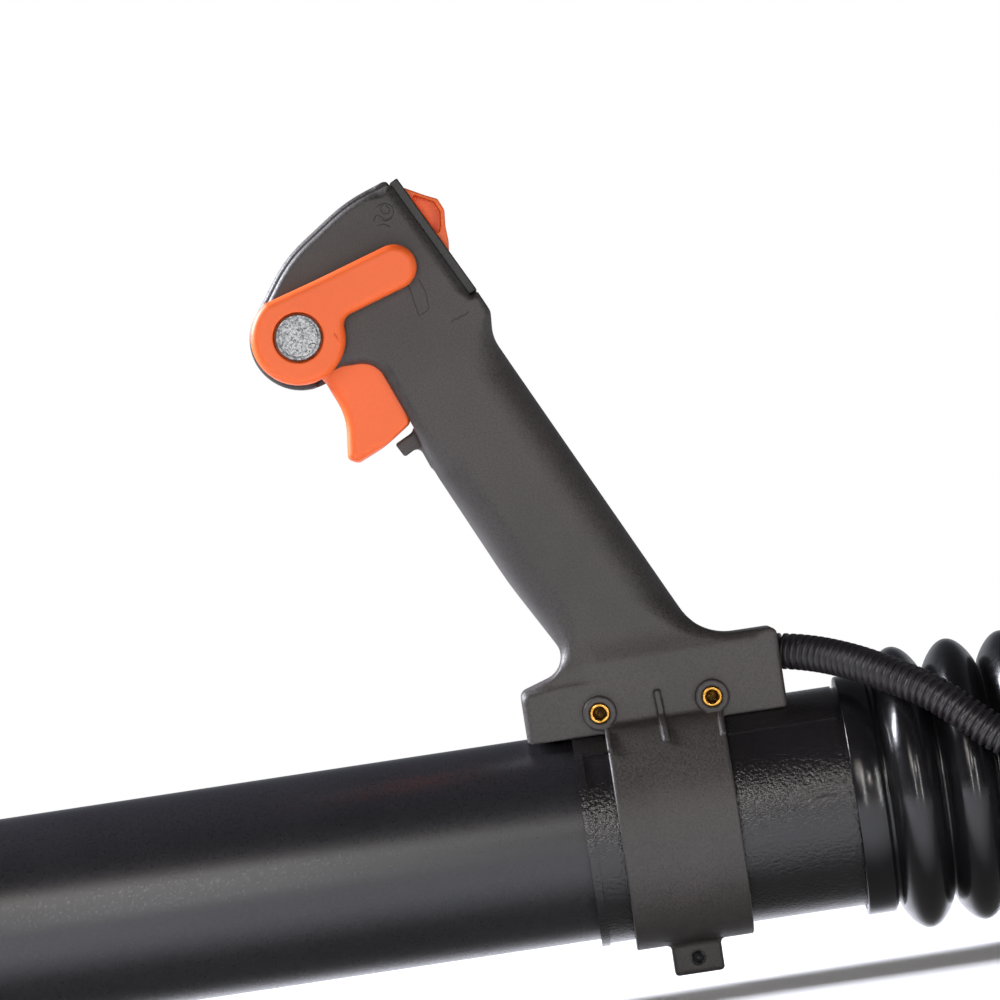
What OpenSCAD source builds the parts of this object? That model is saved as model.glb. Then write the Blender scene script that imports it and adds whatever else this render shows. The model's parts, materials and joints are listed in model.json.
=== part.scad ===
// Air tube of a backpack leaf blower: control handle, blow tube, nozzle and bellows hose.
// X runs along the air tube with the fan end at +X, Z is up, and -Y is the operator's left.
// The origin is the centre of the rear hose cuff's mouth. Lengths are in millimetres.

/* [Air tubes] */
// Outer radius of the control tube that carries the handle
control_r = 39.5; // [36:0.5:44]
// Outer radius of the blow tube
blow_r = 37.5; // [34:0.5:37.5]
// Wall of the hard tubes
tube_wall = 1.9; // [1.4:0.1:2.2]
// Length of the blow tube
blow_len = 350; // [250:5:450]
// Length of the nozzle, from its socket's mouth to its tip
nozzle_len = 260; // [200:5:340]
// Outer radius of the nozzle's outlet
nozzle_tip_r = 32; // [28:0.5:34]

/* [Hose] */
// Distance from the handle's centre to the rear cuff's mouth
cuff_x = 275; // [265:1:300]
// Bore radius of the rear cuff, which slides on the fan outlet
cuff_bore_r = 40; // [39:0.1:41]
// Length of the rear cuff's bore
cuff_len = 35; // [30:1:42]
// Radius of the convolutions' crests
crest_r = 51; // [48:0.5:52]
// Number of convolutions
convolutions = 8; // [6:1:8]
// Wall of the moulded hose
hose_wall = 1.6; // [1.2:0.1:2]

/* [Handle] */
// Half the thickness of the grip and head
grip_half = 17.3; // [16.8:0.1:18.5]
// Half the width of the base that sits on the tube
base_half = 19; // [19:0.1:20.5]
// Wall of the handle shells
shell_wall = 2.6; // [2:0.1:3]
// How far the left shell's head stands back from the right shell's rim
head_step = 2.4; // [1.6:0.1:3]
// Width of the band round the tube
band_w = 42.5; // [38:0.5:46]
// Thickness of the band
band_t = 3.9; // [3:0.1:4.4]
// Distance between the two threaded inserts
insert_spacing = 40.6; // [38:0.2:42]

/* [Controls] */
// Travel of the trigger in degrees
trigger_travel = 22; // [16:1:24]
// Half the width of the trigger
trigger_half = 12.3; // [10:0.1:12.6]
// Radius of the lever's ring
ring_r = 17; // [15:0.1:17.6]
// Length of the lever's arm, from the pivot to the middle of its round tip
lever_len = 41.8; // [36:0.1:44]
// Half the width of the rocker
rocker_half = 7; // [5:0.1:8]

/* [Fits] */
// Radial clearance of turning fits
running_gap = 0.06; // [0.02:0.01:0.1]
// Clearance between pieces that pass each other
free_gap = 0.3; // [0.2:0.05:0.5]

/* [Hidden] */
$fn = 64;

// Colours of the real pieces
shell_c = "#4a4846";
orange_c = "#ef6a36";
black_c = "#1b1b1d";
gloss_c = "#151517";
zinc_c = "#c4c8cc";
brass_c = "#c79a4a";

// Pivot that the trigger and the lever share
pivot_x = -106.6;
pivot_z = 192.2;
pin_r = 3;
sleeve_r = 4.5;
trigger_bore = sleeve_r + running_gap;
disc_r = 8.3;
recess_r = 9;
left_face = -grip_half;
hub_r = 7;
rim_r = 18.3;
hub_sweep_r = 15.4;
cam_room_r = 11.9;
spring_room_r = 13.4;
lever_angle = 17.6;
lever_half = 8.1;
lever_off = 7.6;
ring_t = 7.2;
ring_gap = 0.25;
ring_y0 = left_face - ring_gap - ring_t;
recess_floor = ring_y0 + 3.6;
washer_t = 0.7;
head_y = recess_floor - washer_t - 0.15;
head_t = 2.4;
boss_face = 9.5;
nut_face = 12.4;

// Shell halves
edge_steps = [[0, 11], [2.2, 14.6], [5.2, grip_half]];
inner_half = grip_half - shell_wall;
stub_path = [[-69.6, 154, 0.3], [-78.4, 149.6, 0.8], [-75.6, 144.6, 0.8], [-69.6, 147.8, 3], [-66.2, 140, 0.3],
             [-63, 141, 0.3], [-66, 153, 0.3]];
saddle_r = control_r + 0.85;
pad_r = control_r + 0.7;
pad_angle = 42;
pad_x0 = -31;
pad_x1 = 63;
band_x0 = 1.75 - band_w / 2;
band_bore = control_r + 0.1;
band_r = band_bore + band_t;
flange_x = band_x0 + band_w / 2;
flange_z = -band_r - 5.5;
insert_places = [-insert_spacing / 2, insert_spacing / 2];
insert_z = 43.6;
insert_r = 3.6;
insert_len = 10;
boss_r = 6;
boss_out = 2.4;
boss_y = -base_half - boss_out;
insert_y0 = boss_y + 0.3;
post_points = [[-88, 226], [-37, 128], [-11, 80]];
post_r = 4.1;
screw_r = 1.9;
cap_head_r = 4.3;
cap_head_h = 5;
cap_seat_r = 4.6;
cap_seat = boss_out + base_half - 5.2;
cap_shank_r = 2.45;
cap_core_r = 2.05;
clamp_hole_r = 2.7;
screw_head_r = 3.5;
screw_seat = grip_half - 3.6;

// Stop switch, built on the head's rear face and turned onto it
switch_x = -51.5;
switch_z = 219.6;
switch_turn = -27.1;
bezel_low = -22.3;
bezel_high = 27;
bezel_out = 0.4;
bezel_in = -3.1;
bezel_half = 11;
rocker_z = 9;
rocker_x = -2.2;
rocker_pin_r = 1.5;
window_low = -6.6;
window_high = 24.4;

// Throttle linkage
arm_len = 24;
arm_rest = 15;
slot_end = -40 - trigger_travel;
nipple_r = 2.4;
wire_r = 0.8;
casing_r = 2.5;
cable_turn = -26.1;
adjuster_r = 3;
web_half = 5;
web_reach = 37;

// Tubes, along the handle's own x
mouth_x = -31.7;
stop_x = 10;
hose_x0 = 64.6;
first_valley = 76.5;
control_end = first_valley - 1.5;
blow_x1 = stop_x - 0.5;
blow_x0 = blow_x1 - blow_len;
nozzle_x1 = blow_x0 + 42;
nozzle_x0 = nozzle_x1 - nozzle_len;
seal_x = -6;
peg_r = 3.4;
peg_x = -19;
peg_turn = 25;
front_peg_x = blow_x0 + 26;
socket_r = blow_r + 0.15;
nozzle_socket_r = socket_r + tube_wall;
hose_bore = control_r + 0.1;
front_cuff_r = hose_bore + 3.7;
rear_cuff_r = cuff_bore_r + 3.4;
rear_cuff_x0 = cuff_x - cuff_len;
hose_pitch = (rear_cuff_x0 - 3.5 - first_valley) / convolutions;
valley_r = control_r + 0.4;
spigot_r = valley_r - hose_wall - 0.4;
spigot_end = control_end + 19;
clamp_x = cuff_x - 12;
clamp_w = 12;

// Conduit route past a hose of 51 mm crests whose cuff ends at 275, with its end at the gland first
conduit_r = 6.5;
route_crest_r = 51;
route_cuff_x = 275;
conduit_route = [
  [46.2, -9, 55.8], [50.5, -10.4, 55], [56, -14.2, 53.8], [62, -19.6, 52.1], [68.5, -26, 49.7],
  [75, -32.6, 46.8], [81.5, -38.5, 43.4], [88, -43.4, 39.7], [95, -47.4, 35.4], [102, -50.7, 29.9], [109, -53.4, 23.4],
  [118, -56.2, 15.6], [128, -58.2, 8.8], [139, -59.3, 4], [151, -59.8, 1], [164, -59.8, 0],
  [178, -59.8, 0], [192, -59.8, 0], [206, -59.6, 0], [220, -58.9, 0], [232, -57.6, 0],
  [243, -56, 0], [254, -54.6, 0], [265, -53.4, 0], [276, -53, 0]
];
// The route keeps its distance from the crests and from a tube that grows, and its end follows the cuff
conduit_gap = 8.8;
conduit_scale = (max(crest_r, valley_r + 1) + conduit_gap) / (route_crest_r + conduit_gap);
conduit_points = [
  for (p = conduit_route)
    let (k = 1 + (conduit_scale - 1) * min(1, max(0, (p[0] - 50) / 30)),
         stretch = (cuff_x - route_cuff_x) * min(1, max(0, (p[0] - 128) / 50)))
    [p[0] + stretch, p[1] * k, p[2] * k]];
conduit_end = conduit_points[len(conduit_points) - 1];
tail_y = conduit_end[1];
clip_x = cuff_x - 34;
clip_y = -56 * conduit_scale;
clip_gap = 0.9 + 2 * max(0, conduit_scale - 1);
ferrule_len = 20;
wire_pull = 9.8;
boot_x0 = cuff_x - 3;
boot_x1 = boot_x0 + 20;
// The tail's cable and leads, from places on the boot's axis
casing_points = [for (p = [[19, 0, 1.8], [26, -0.2, 2.2], [34, -1, 3], [42, -2, 4]]) p + [boot_x0, tail_y, 0]];
lead_points = [
  for (route = [
    [[19, -2.2, -2.2], [27, -3, -3.4], [36, -4.6, -5.4], [45, -6, -7.4], [53, -7, -9]],
    [[19, 2.2, -2.4], [26, 2.4, -4.6], [34, 2.4, -8], [41, 2.2, -11.6], [47, 2, -15]]])
    [for (p = route) p + [boot_x0, tail_y, 0]]];
lead_r = 1.2;
inner_leads = [
  [[-75.05, -4, 210.24], [-76.9, -4, 209.3], [-77.6, -4.1, 207.2], [-76.2, -4.3, 205], [-73, -4.7, 203], [-69, -5.4, 199], [-63, -6.8, 190], [-57, -7.2, 178], [-51, -8, 165],
   [-44, -9, 151], [-35, -9.6, 139], [-29, -9.8, 127], [-24.5, -9.8, 112], [-20.5, -9.8, 95],
   [-17.6, -9.8, 80], [-11, -9.4, 69.5], [3, -9.4, 63.6], [18, -10.2, 60.2], [31, -10.6, 57.8]],
  [[-75.05, 4, 210.24], [-76.9, 4, 209.3], [-77.6, 4, 207.2], [-76.2, 3.9, 205], [-73, 3.7, 203], [-69, 5.4, 199], [-63, 6.6, 190], [-56.5, 6.4, 178], [-49.5, 2.4, 165],
   [-41.5, -3, 151], [-33, -6.2, 139], [-27, -6.8, 127], [-22.5, -6.8, 112], [-19, -6.8, 95],
   [-17.4, -6.8, 80], [-9, -6.4, 69], [5, -4.4, 62], [19, -4.8, 58.6], [31, -6.8, 54.8]]
];
casing_route = [
  [-69, 0, 169], [-63.6, 0, 157.4], [-56, 0, 142], [-47, 0.6, 124], [-37, 1, 104], [-26, 0, 84], [-14, -3, 68],
  [0, -6, 58.6], [14, -8.4, 54.4], [31, -10.4, 53.4]
];

// A corner with a fillet: points along the arc that joins the edges to its neighbours
function corner(a, b, c, r) =
  let (u = (a - b) / norm(a - b), v = (c - b) / norm(c - b),
       half = acos(max(-1, min(1, u * v))) / 2,
       reach = min(r / tan(half), 0.49 * norm(a - b), 0.49 * norm(c - b)),
       rr = reach * tan(half), mid = (u + v) / norm(u + v),
       centre = b + mid * rr / sin(half), p = b + u * reach - centre,
       side = cross(u, v) > 0 ? -1 : 1, turn = 180 - 2 * half,
       steps = max(1, ceil(turn / 12)))
  r < 0.2 || half > 88.5 ? [b]
  : [for (i = [0:steps]) let (t = side * turn * i / steps)
      centre + [p[0] * cos(t) - p[1] * sin(t), p[0] * sin(t) + p[1] * cos(t)]];

// A closed outline from corners given as [x, z, fillet radius]
function rounded(path) =
  let (n = len(path))
  [for (i = [0:n - 1])
    let (a = path[(i + n - 1) % n], b = path[i], c = path[(i + 1) % n])
    each corner([a[0], a[1]], [b[0], b[1]], [c[0], c[1]], b[2])];

// The same corners moved inwards by d, for a path that runs clockwise
function inset(path, d) =
  let (n = len(path))
  [for (i = [0:n - 1])
    let (a = path[(i + n - 1) % n], b = path[i], c = path[(i + 1) % n],
         u = [b[0] - a[0], b[1] - a[1]] / norm([b[0] - a[0], b[1] - a[1]]),
         v = [c[0] - b[0], c[1] - b[1]] / norm([c[0] - b[0], c[1] - b[1]]),
         nu = [u[1], -u[0]], nv = [v[1], -v[0]], k = d / (1 + nu * nv),
         bend = cross(u, v))
    [b[0] + (nu[0] + nv[0]) * k, b[1] + (nu[1] + nv[1]) * k,
     bend > 0 ? b[2] + d : max(0.3, b[2] - d)]];

// Points on an arc round the pivot
function pivot_arc(r, from, to, steps) =
  [for (i = [0:steps]) let (t = from + (to - from) * i / steps)
    [pivot_x + r * cos(t), pivot_z + r * sin(t), 0]];
// The same without the fillet radius
function flat(path) = [for (p = path) [p[0], p[1]]];

// Handle outline, clockwise from the head's top corner
head_rear = [[-67.3, 244.3, 2.5], [-43.6, 198, 0.3], [-40.9, 199.3, 0.3], [-37.3, 191.6, 5], [-37.9, 182.2, 14]];
grip_low = [[19.5, 65, 20], [46.6, 64.8, 2.5], [46.6, 36, 0.3], [-47.3, 36, 0.3], [-47.4, 54.4, 3], [-26.7, 60.9, 9]];
grip_front = [[-45.6, 94.2, 150], [-66.6, 139.4, 60], [-70.9, 154.4, 1.5]];
trigger_roof = [[-80.9, 179.8, 13], [-92.8, 179.8, 6]];
ring_front = pivot_arc(rim_r, -66, -207, 14);
head_front = [[-107.8, 221.9, 50], [-82.8, 239.1, 60]];
outline = concat(head_rear, grip_low, grip_front, trigger_roof, ring_front, head_front);
// The left half's head stands back from the right half's rim, and its top corner slides down the rear face
left_outline = let (n = len(outline), back = inset(outline, head_step), face = outline[1] - outline[0])
  concat([outline[0] + [face[0], face[1], 0] / norm([face[0], face[1]]) * head_step * 1.1],
         [for (i = [1:4]) outline[i]], grip_low, grip_front, trigger_roof,
         pivot_arc(rim_r - head_step, -66, -207, 14), [back[n - 2], back[n - 1]]);
base_path = [[-47.4, 34, 0.3], [-47.4, 54.4, 3], [-26.7, 60.9, 9], [-20, 66, 2], [16, 67, 2], [26, 65, 12],
             [46.6, 64.8, 2.5], [46.6, 34, 0.3]];

// An outline extruded along Y between two places
module plate(points, y0, y1) {
  translate([0, y1, 0]) rotate([90, 0, 0]) linear_extrude(y1 - y0) polygon(points);
}
// A round bar along Y
module bar_y(x, z, r, y0, y1) {
  translate([x, y1, z]) rotate([90, 0, 0]) cylinder(r = r, h = y1 - y0);
}
// A ring along Y
module ring_y(x, z, r, bore, y0, y1) {
  difference() {
    bar_y(x, z, r, y0, y1);
    bar_y(x, z, bore, y0 - 1, y1 + 1);
  }
}
// A round bar along X on the tube's axis
module bar_x(r, x0, x1) {
  translate([x0, 0, 0]) rotate([0, 90, 0]) cylinder(r = r, h = x1 - x0, $fn = 128);
}
// A pipe along X on the tube's axis
module pipe_x(r, bore, x0, x1) {
  difference() {
    bar_x(r, x0, x1);
    bar_x(bore, x0 - 1, x1 + 1);
  }
}
// Part of a ring round the tube's axis, centred on the angle mid, where 90 is up
module arc_x(r0, r1, x0, x1, mid, half) {
  translate([x0, 0, 0]) rotate([0, 90, 0]) rotate([0, 0, mid + 90 - half])
    rotate_extrude(angle = 2 * half, $fn = 128) translate([r0, 0]) square([r1 - r0, x1 - x0]);
}
// A box between two corners
module block(a, b) {
  translate(a) cube(b - a);
}
// A round tube swept along points, with a ring at each point
module swept(points, r, sides) {
  n = len(points);
  dirs = [for (i = [0:n - 1]) let (d = points[min(i + 1, n - 1)] - points[max(i - 1, 0)]) d / norm(d)];
  rings = [for (i = [0:n - 1])
    let (up = cross(dirs[i], [0, 1, 0]), a = up / norm(up), b = cross(dirs[i], a))
    each [for (k = [0:sides - 1]) points[i] + r * (cos(360 * k / sides) * a + sin(360 * k / sides) * b)]];
  walls = [for (i = [0:n - 2], k = [0:sides - 1])
    let (j = (k + 1) % sides)
    [i * sides + k, (i + 1) * sides + k, (i + 1) * sides + j, i * sides + j]];
  polyhedron(rings, concat([[for (k = [0:sides - 1]) k]], walls,
    [[for (k = [sides - 1:-1:0]) (n - 1) * sides + k]]), convexity = 4);
}
// Places children on the head's rear face: X is outwards, Z is up along the face
module on_switch() {
  translate([switch_x, 0, switch_z]) rotate([0, switch_turn, 0]) children();
}
// Places children along the throttle cable's straight run, with Z towards the trigger's arm
module on_cable() {
  translate([pivot_x + arm_len * cos(arm_rest), 0, pivot_z + arm_len * sin(arm_rest)])
    rotate([0, cable_turn, 0]) children();
}

// One half of the handle. side is -1 for the left half and 1 for the right.
module half_shell(side) {
  skin = side < 0 ? left_outline : outline;
  difference() {
    union() {
      difference() {
        union() {
          for (step = edge_steps)
            plate(rounded(inset(skin, step[0])), side > 0 ? 0 : -step[1], side > 0 ? step[1] : 0);
          plate(rounded(base_path), side > 0 ? 0 : -base_half, side > 0 ? base_half : 0);
        }
        plate(rounded(inset(skin, shell_wall)), side > 0 ? -1 : -inner_half + shell_wall, side > 0 ? inner_half - shell_wall : 1);
        plate(rounded(inset(skin, shell_wall + 3)), side > 0 ? -1 : -inner_half, side > 0 ? inner_half : 1);
      }
      // Stub under the trigger
      plate(rounded(stub_path), side > 0 ? 0 : -5, side > 0 ? 5 : 0);
      // Band round the tube, with its flange underneath
      arc_x(band_bore, band_r, band_x0, band_x0 + band_w, side > 0 ? 0 : 180, 89.8);
      block([flange_x - 9, side > 0 ? 0.2 : -7, flange_z - 5.5], [flange_x + 9, side > 0 ? 7 : -0.2, -band_r + 2]);
      // Centre rib and the bosses at the clamp screws
      block([1, side > 0 ? base_half - 2 : boss_y, 31.4], [3, side > 0 ? -boss_y : -base_half + 2, 48.8]);
      for (x = insert_places)
        bar_y(x, insert_z, boss_r, side > 0 ? 0 : boss_y, side > 0 ? -boss_y : 0);
      for (p = post_points)
        bar_y(p[0], p[1], post_r, side > 0 ? 0 : -inner_half - 1, side > 0 ? inner_half + 1 : 0);
    }
    // Seat on the tube
    bar_x(band_bore, -60, 60);
    arc_x(30, saddle_r, -60, 60, 90, pad_angle + 1.5);
    // Conduit's hole
    translate([30, conduit_points[0][1], conduit_points[0][2]]) rotate([0, 90, 0])
      cylinder(r = conduit_r + 1.6, h = 30);
    if (side < 0) {
      for (x = insert_places) {
        bar_y(x, insert_z, insert_r, boss_y - 1, insert_y0 + insert_len);
        bar_y(x, insert_z, clamp_hole_r, -base_half, 1);
      }
      for (p = post_points) bar_y(p[0], p[1], screw_r, -11, 1);
      bar_y(pivot_x, pivot_z, hub_r + free_gap, -30, 1);
      bar_y(flange_x, flange_z, 2.2, -30, 1);
    } else {
      for (x = insert_places) {
        bar_y(x, insert_z, clamp_hole_r, -1, 40);
        bar_y(x, insert_z, cap_seat_r, cap_seat, 40);
      }
      for (p = post_points) {
        bar_y(p[0], p[1], screw_r + 0.2, -1, 40);
        bar_y(p[0], p[1], screw_head_r + 0.3, screw_seat, 40);
      }
      bar_y(flange_x, flange_z, clamp_hole_r, -1, 30);
    }
    // Switch opening
    on_switch() {
      block([-26, -9.6, -8.2], [5, 9.6, window_high + 1.2]);
      block([bezel_in - 0.05, -bezel_half - 0.2, bezel_low - 0.1], [5, bezel_half + 0.2, bezel_high + 3]);
    }
    // Room for the trigger and its hub
    block([-103.6, -trigger_half - 0.5, 154.6], [-62, trigger_half + 0.5, 190]);
    plate(pivot_clear, -trigger_half - 0.5, trigger_half + 0.5);
  }
  // Web from the grip's rear wall that holds the cable adjuster between the trigger's cheeks
  on_cable() difference() {
    block([-4.6, side > 0 ? 0 : -web_half, -23.8], [web_reach, side > 0 ? web_half : 0, -21.4]);
    translate([0, 0, -30]) cylinder(r = adjuster_r + 0.05, h = 16);
  }
}
// Room that the trigger sweeps through
pivot_clear = concat(
  [for (t = [-130:5:62]) [pivot_x + hub_sweep_r * cos(t), pivot_z + hub_sweep_r * sin(t)]],
  [[pivot_x, pivot_z]]);

module left_shell() { color(shell_c) half_shell(-1); }
module right_shell() {
  color(shell_c) {
    difference() {
      union() {
        half_shell(1);
        bar_y(pivot_x, pivot_z, hub_r + 2, boss_face, inner_half + 1);
      }
      bar_y(pivot_x, pivot_z, pin_r + 0.1, 0, 40);
      bar_y(pivot_x, pivot_z, 5.9, nut_face, 40);
    }
  }
}
module threaded_inserts() {
  color(brass_c) for (x = insert_places)
    ring_y(x, insert_z, insert_r, 2.1, insert_y0, insert_y0 + insert_len - 0.2);
}
module clamp_screws() {
  color(zinc_c) {
    for (x = insert_places)
      socket_screw(x, insert_z, cap_seat, insert_y0 + insert_len + 0.2, insert_y0 + 5.6);
    socket_screw(flange_x, flange_z, 7, -0.2, -6.6);
  }
}
// A cap screw along Y with a hexagon socket: head seat, then the shank and its threaded core
module socket_screw(x, z, seat, core_y, tip_y) {
  difference() {
    bar_y(x, z, cap_head_r, seat, seat + cap_head_h);
    translate([x, seat + cap_head_h + 1, z]) rotate([90, 0, 0]) cylinder(r = 2.3, h = 3.6, $fn = 6);
  }
  bar_y(x, z, cap_shank_r, core_y, seat);
  bar_y(x, z, cap_core_r, tip_y, core_y);
}
module shell_screws() {
  color(zinc_c) for (p = post_points) {
    bar_y(p[0], p[1], screw_head_r, screw_seat, screw_seat + 2.4);
    bar_y(p[0], p[1], screw_r - 0.05, -10.5, screw_seat);
  }
}

// Lever outline on its own axes: a ring, and an arm above its middle that leaves it in a fillet below
lever_path = concat(
  [for (t = [90:-12:-90]) [lever_len + lever_half * cos(t), lever_off + lever_half * sin(t), 0]],
  [[17.4, lever_off - lever_half, 7], [ring_r * cos(-24), ring_r * sin(-24), 0]],
  [for (t = [-36:-12:-252]) [ring_r * cos(t), ring_r * sin(t), 0]],
  [[14, lever_off + lever_half, 0]]);
module lever_plate(y0, y1, thinner) {
  translate([pivot_x, 0, pivot_z]) rotate([0, -lever_angle, 0])
    plate(rounded(inset(lever_path, thinner)), y0, y1);
}
module cruise_lever() {
  color(orange_c) difference() {
    union() {
      lever_plate(ring_y0 + 1.6, left_face - ring_gap, 0);
      lever_plate(ring_y0, ring_y0 + 1.7, 1.3);
      bar_y(pivot_x, pivot_z, hub_r, left_face - 1, -9.3);
    }
    bar_y(pivot_x, pivot_z, recess_r, ring_y0 - 1, recess_floor);
    bar_y(pivot_x, pivot_z, sleeve_r + running_gap, -40, 0);
  }
}
module throttle_cam() {
  color(black_c) difference() {
    union() {
      bar_y(pivot_x, pivot_z, hub_r + 2.6, -13.3, -9.3);
      bar_y(pivot_x + 7, pivot_z + 2, 4, -13.3, -9.3);
    }
    bar_y(pivot_x, pivot_z, hub_r, -14, -9);
  }
}
module friction_washer() {
  color(zinc_c) ring_y(pivot_x, pivot_z, 7.6, sleeve_r + 0.2, recess_floor - washer_t - 0.05, recess_floor - 0.05);
}
module pivot_bolt() {
  color(zinc_c) {
    bar_y(pivot_x, pivot_z, disc_r, head_y - head_t, head_y);
    bar_y(pivot_x, pivot_z, pin_r, head_y, nut_face - 0.1);
    bar_y(pivot_x, pivot_z, 2.5, nut_face - 0.1, grip_half - 0.4);
  }
}
module pivot_sleeve() {
  color(zinc_c) ring_y(pivot_x, pivot_z, sleeve_r, pin_r + 0.05, head_y, boss_face);
}
module pivot_nut() {
  color(zinc_c) difference() {
    translate([pivot_x, grip_half - 0.6, pivot_z]) rotate([90, 0, 0])
      cylinder(r = 5.7, h = grip_half - 0.6 - nut_face, $fn = 6);
    bar_y(pivot_x, pivot_z, 2.55, nut_face - 1, 40);
  }
}

// Trigger outline: a concave finger face, a round lower edge and a heel inside the grip
module trigger() {
  finger = [[-104, 181, 0], [-99.4, 174.6, 2], [-94.2, 162, 22], [-95.9, 146.6, 0.8], [-92.4, 144.9, 0.8],
            [-82.5, 149.2, 40], [-71.9, 156.4, 2.5], [-72.6, 166, 14], [-80, 180, 8], [-86, 190, 4],
            [-98, 197, 0]];
  color(orange_c) difference() {
    union() {
      plate(rounded(finger), -trigger_half + 2, trigger_half - 2);
      plate(rounded(inset(finger, 1.4)), -trigger_half, trigger_half);
      bar_y(pivot_x, pivot_z, 9.6, -8.9, 9.2);
      // Arm that carries the cable's nipple
      translate([pivot_x, 0, pivot_z]) rotate([0, -arm_rest, 0])
        plate([[0, 6], [arm_len, 5.2], [arm_len + 5, 3], [arm_len + 5, -3], [arm_len, -5.2], [0, -8]], -5.2, 5.2);
    }
    bar_y(pivot_x, pivot_z, trigger_bore, -40, 40);
    bar_y(pivot_x, pivot_z, spring_room_r, 2, 40);
    bar_y(pivot_x, pivot_z, cam_room_r, -40, -8.9);
    // Slot that lets the cable and its adjuster pass between the cheeks
    plate(flat(concat(pivot_arc(12, 1, slot_end, 6), pivot_arc(70, slot_end, 1, 6))), -5.6, 5.6);
    translate([pivot_x, 0, pivot_z]) rotate([0, -arm_rest, 0]) {
      block([arm_len - 3.1, -1.4, -14], [arm_len + 3.1, 1.4, 0]);
      bar_y(arm_len, 0, nipple_r + 0.7, -3.4, 3.4);
      block([arm_len - 0.4, -3.4, -nipple_r - 0.7], [arm_len + 8, 3.4, nipple_r + 0.7]);
    }
  }
  color(orange_c) ring_y(pivot_x, pivot_z, 7.4, trigger_bore, 1.9, 9.2);
}
module trigger_spring() {
  turns = 3;
  color(zinc_c) swept(concat(
    [[pivot_x + 8.8, 3.2, pivot_z - 8.8]],
    [for (i = [0:turns * 16]) let (t = -45 + 360 * i / 16)
      [pivot_x + 9.3 * cos(t), 3.3 + 1.75 * i / 16, pivot_z + 9.3 * sin(t)]],
    [[pivot_x + 8.8, 8.6, pivot_z - 8.8]]), 0.7, 8);
}

module switch_bezel() {
  color(black_c) on_switch() difference() {
    block([bezel_in, -bezel_half, bezel_low], [bezel_out, bezel_half, bezel_high]);
    block([-10, -rocker_half - 0.4, window_low + 0.6], [5, rocker_half + 0.4, window_high - 0.6]);
    bar_y(rocker_x, rocker_z, rocker_pin_r, -20, 20);
  }
}
// Rocker outline on the switch's own axes, with the raised end upwards
rocker_path = [[0.3, 23.2, 0.6], [5.1, 16.3, 3], [8, 12.6, 1.4], [7.7, 8, 2], [4.9, 3.6, 3], [2.6, -1.6, 3],
               [0.3, -5.2, 0.5], [-2.6, -2.6, 1], [-4.4, 9, 5], [-2.6, 21, 1]];
module switch_rocker() {
  color(orange_c) on_switch() difference() {
    union() {
      difference() {
        plate(rounded(rocker_path), -rocker_half, rocker_half);
        for (y = [-rocker_half - 1, rocker_half - 2])
          plate(rounded([[1.4, 19.6, 1], [6, 12.6, 1], [2.6, 5.4, 1]]), y, y + 3);
      }
      block([-7.5, -1.5, rocker_z - 2], [rocker_x, 1.5, rocker_z + 2]);
    }
    bar_y(rocker_x, rocker_z, rocker_pin_r + running_gap, -20, 20);
  }
}
module switch_pin() {
  color(zinc_c) on_switch() bar_y(rocker_x, rocker_z, rocker_pin_r, -9.2, 9.2);
}
module switch_body() {
  color(black_c) on_switch() difference() {
    block([-19, -9.4, window_low - 1], [bezel_in - 0.05, 9.4, window_high]);
    block([-12, -rocker_half - 0.5, window_low + 0.6], [0, rocker_half + 0.5, window_high - 0.6]);
    bar_y(rocker_x, rocker_z, rocker_pin_r, -20, 20);
  }
}
module switch_terminals() {
  color(brass_c) on_switch() for (y = [-4, 4])
    block([-25, y - 2.4, 2], [-19, y + 2.4, 2.8]);
}

module throttle_wire() {
  color(zinc_c) {
    translate([pivot_x + arm_len * cos(arm_rest), 0, pivot_z + arm_len * sin(arm_rest)])
      rotate([90, 0, 0]) cylinder(r = nipple_r, h = 6, center = true);
    on_cable() translate([0, 0, -31]) cylinder(r = wire_r, h = 31);
  }
}
module cable_adjuster() {
  color(brass_c) on_cable() translate([0, 0, -34]) difference() {
    union() {
      cylinder(r = adjuster_r, h = 16);
      cylinder(r = 4.6, h = 3, $fn = 6);
    }
    translate([0, 0, -1]) cylinder(r = wire_r + 0.3, h = 30);
    translate([0, 0, -1]) cylinder(r = casing_r + 0.15, h = 5);
  }
}
module adjuster_nut() {
  color(zinc_c) on_cable() translate([0, 0, -26.5]) difference() {
    cylinder(r = 5, h = 2.6, $fn = 6);
    translate([0, 0, -1]) cylinder(r = adjuster_r, h = 5);
  }
}
module throttle_casing() { color(black_c) swept(casing_route, casing_r, 10); }
module switch_leads() { color(black_c) for (route = inner_leads) swept(route, 1.1, 8); }
module conduit_gland() {
  color(black_c) translate([31.2, conduit_points[0][1], conduit_points[0][2]]) rotate([0, 90, 0]) difference() {
    cylinder(r = conduit_r + 1.4, h = 12.4);
    translate([0, 0, -1]) cylinder(r = conduit_r - 1, h = 30);
  }
}

// Peg slot in a socket wall: a run round the tube and an entry from the mouth
module peg_slot(x, mouth, r0, r1) {
  half = peg_r + free_gap;
  run = atan(half / r0) + 0.3;
  arc_x(r0, r1, x - half, x + half, -90 + peg_turn / 2, peg_turn / 2 + run);
  rotate([peg_turn, 0, 0]) block([min(x, mouth), -half, -r1 - 1], [max(x, mouth), half, -r0 + 1]);
}
module control_tube() {
  color(gloss_c) difference() {
    union() {
      bar_x(control_r, mouth_x, control_end);
      bar_x(spigot_r, control_end - 1, spigot_end);
      arc_x(control_r - 1, pad_r, pad_x0, pad_x1, 90, pad_angle);
      bar_x(control_r + 0.8, mouth_x, mouth_x + 3);
    }
    bar_x(spigot_r - tube_wall, mouth_x - 1, spigot_end + 1);
    bar_x(socket_r, mouth_x - 1, stop_x);
    bar_x(socket_r + 0.9, seal_x - 2, seal_x + 2);
    peg_slot(peg_x, mouth_x - 1, blow_r - 1, control_r + 2);
  }
}
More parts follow.
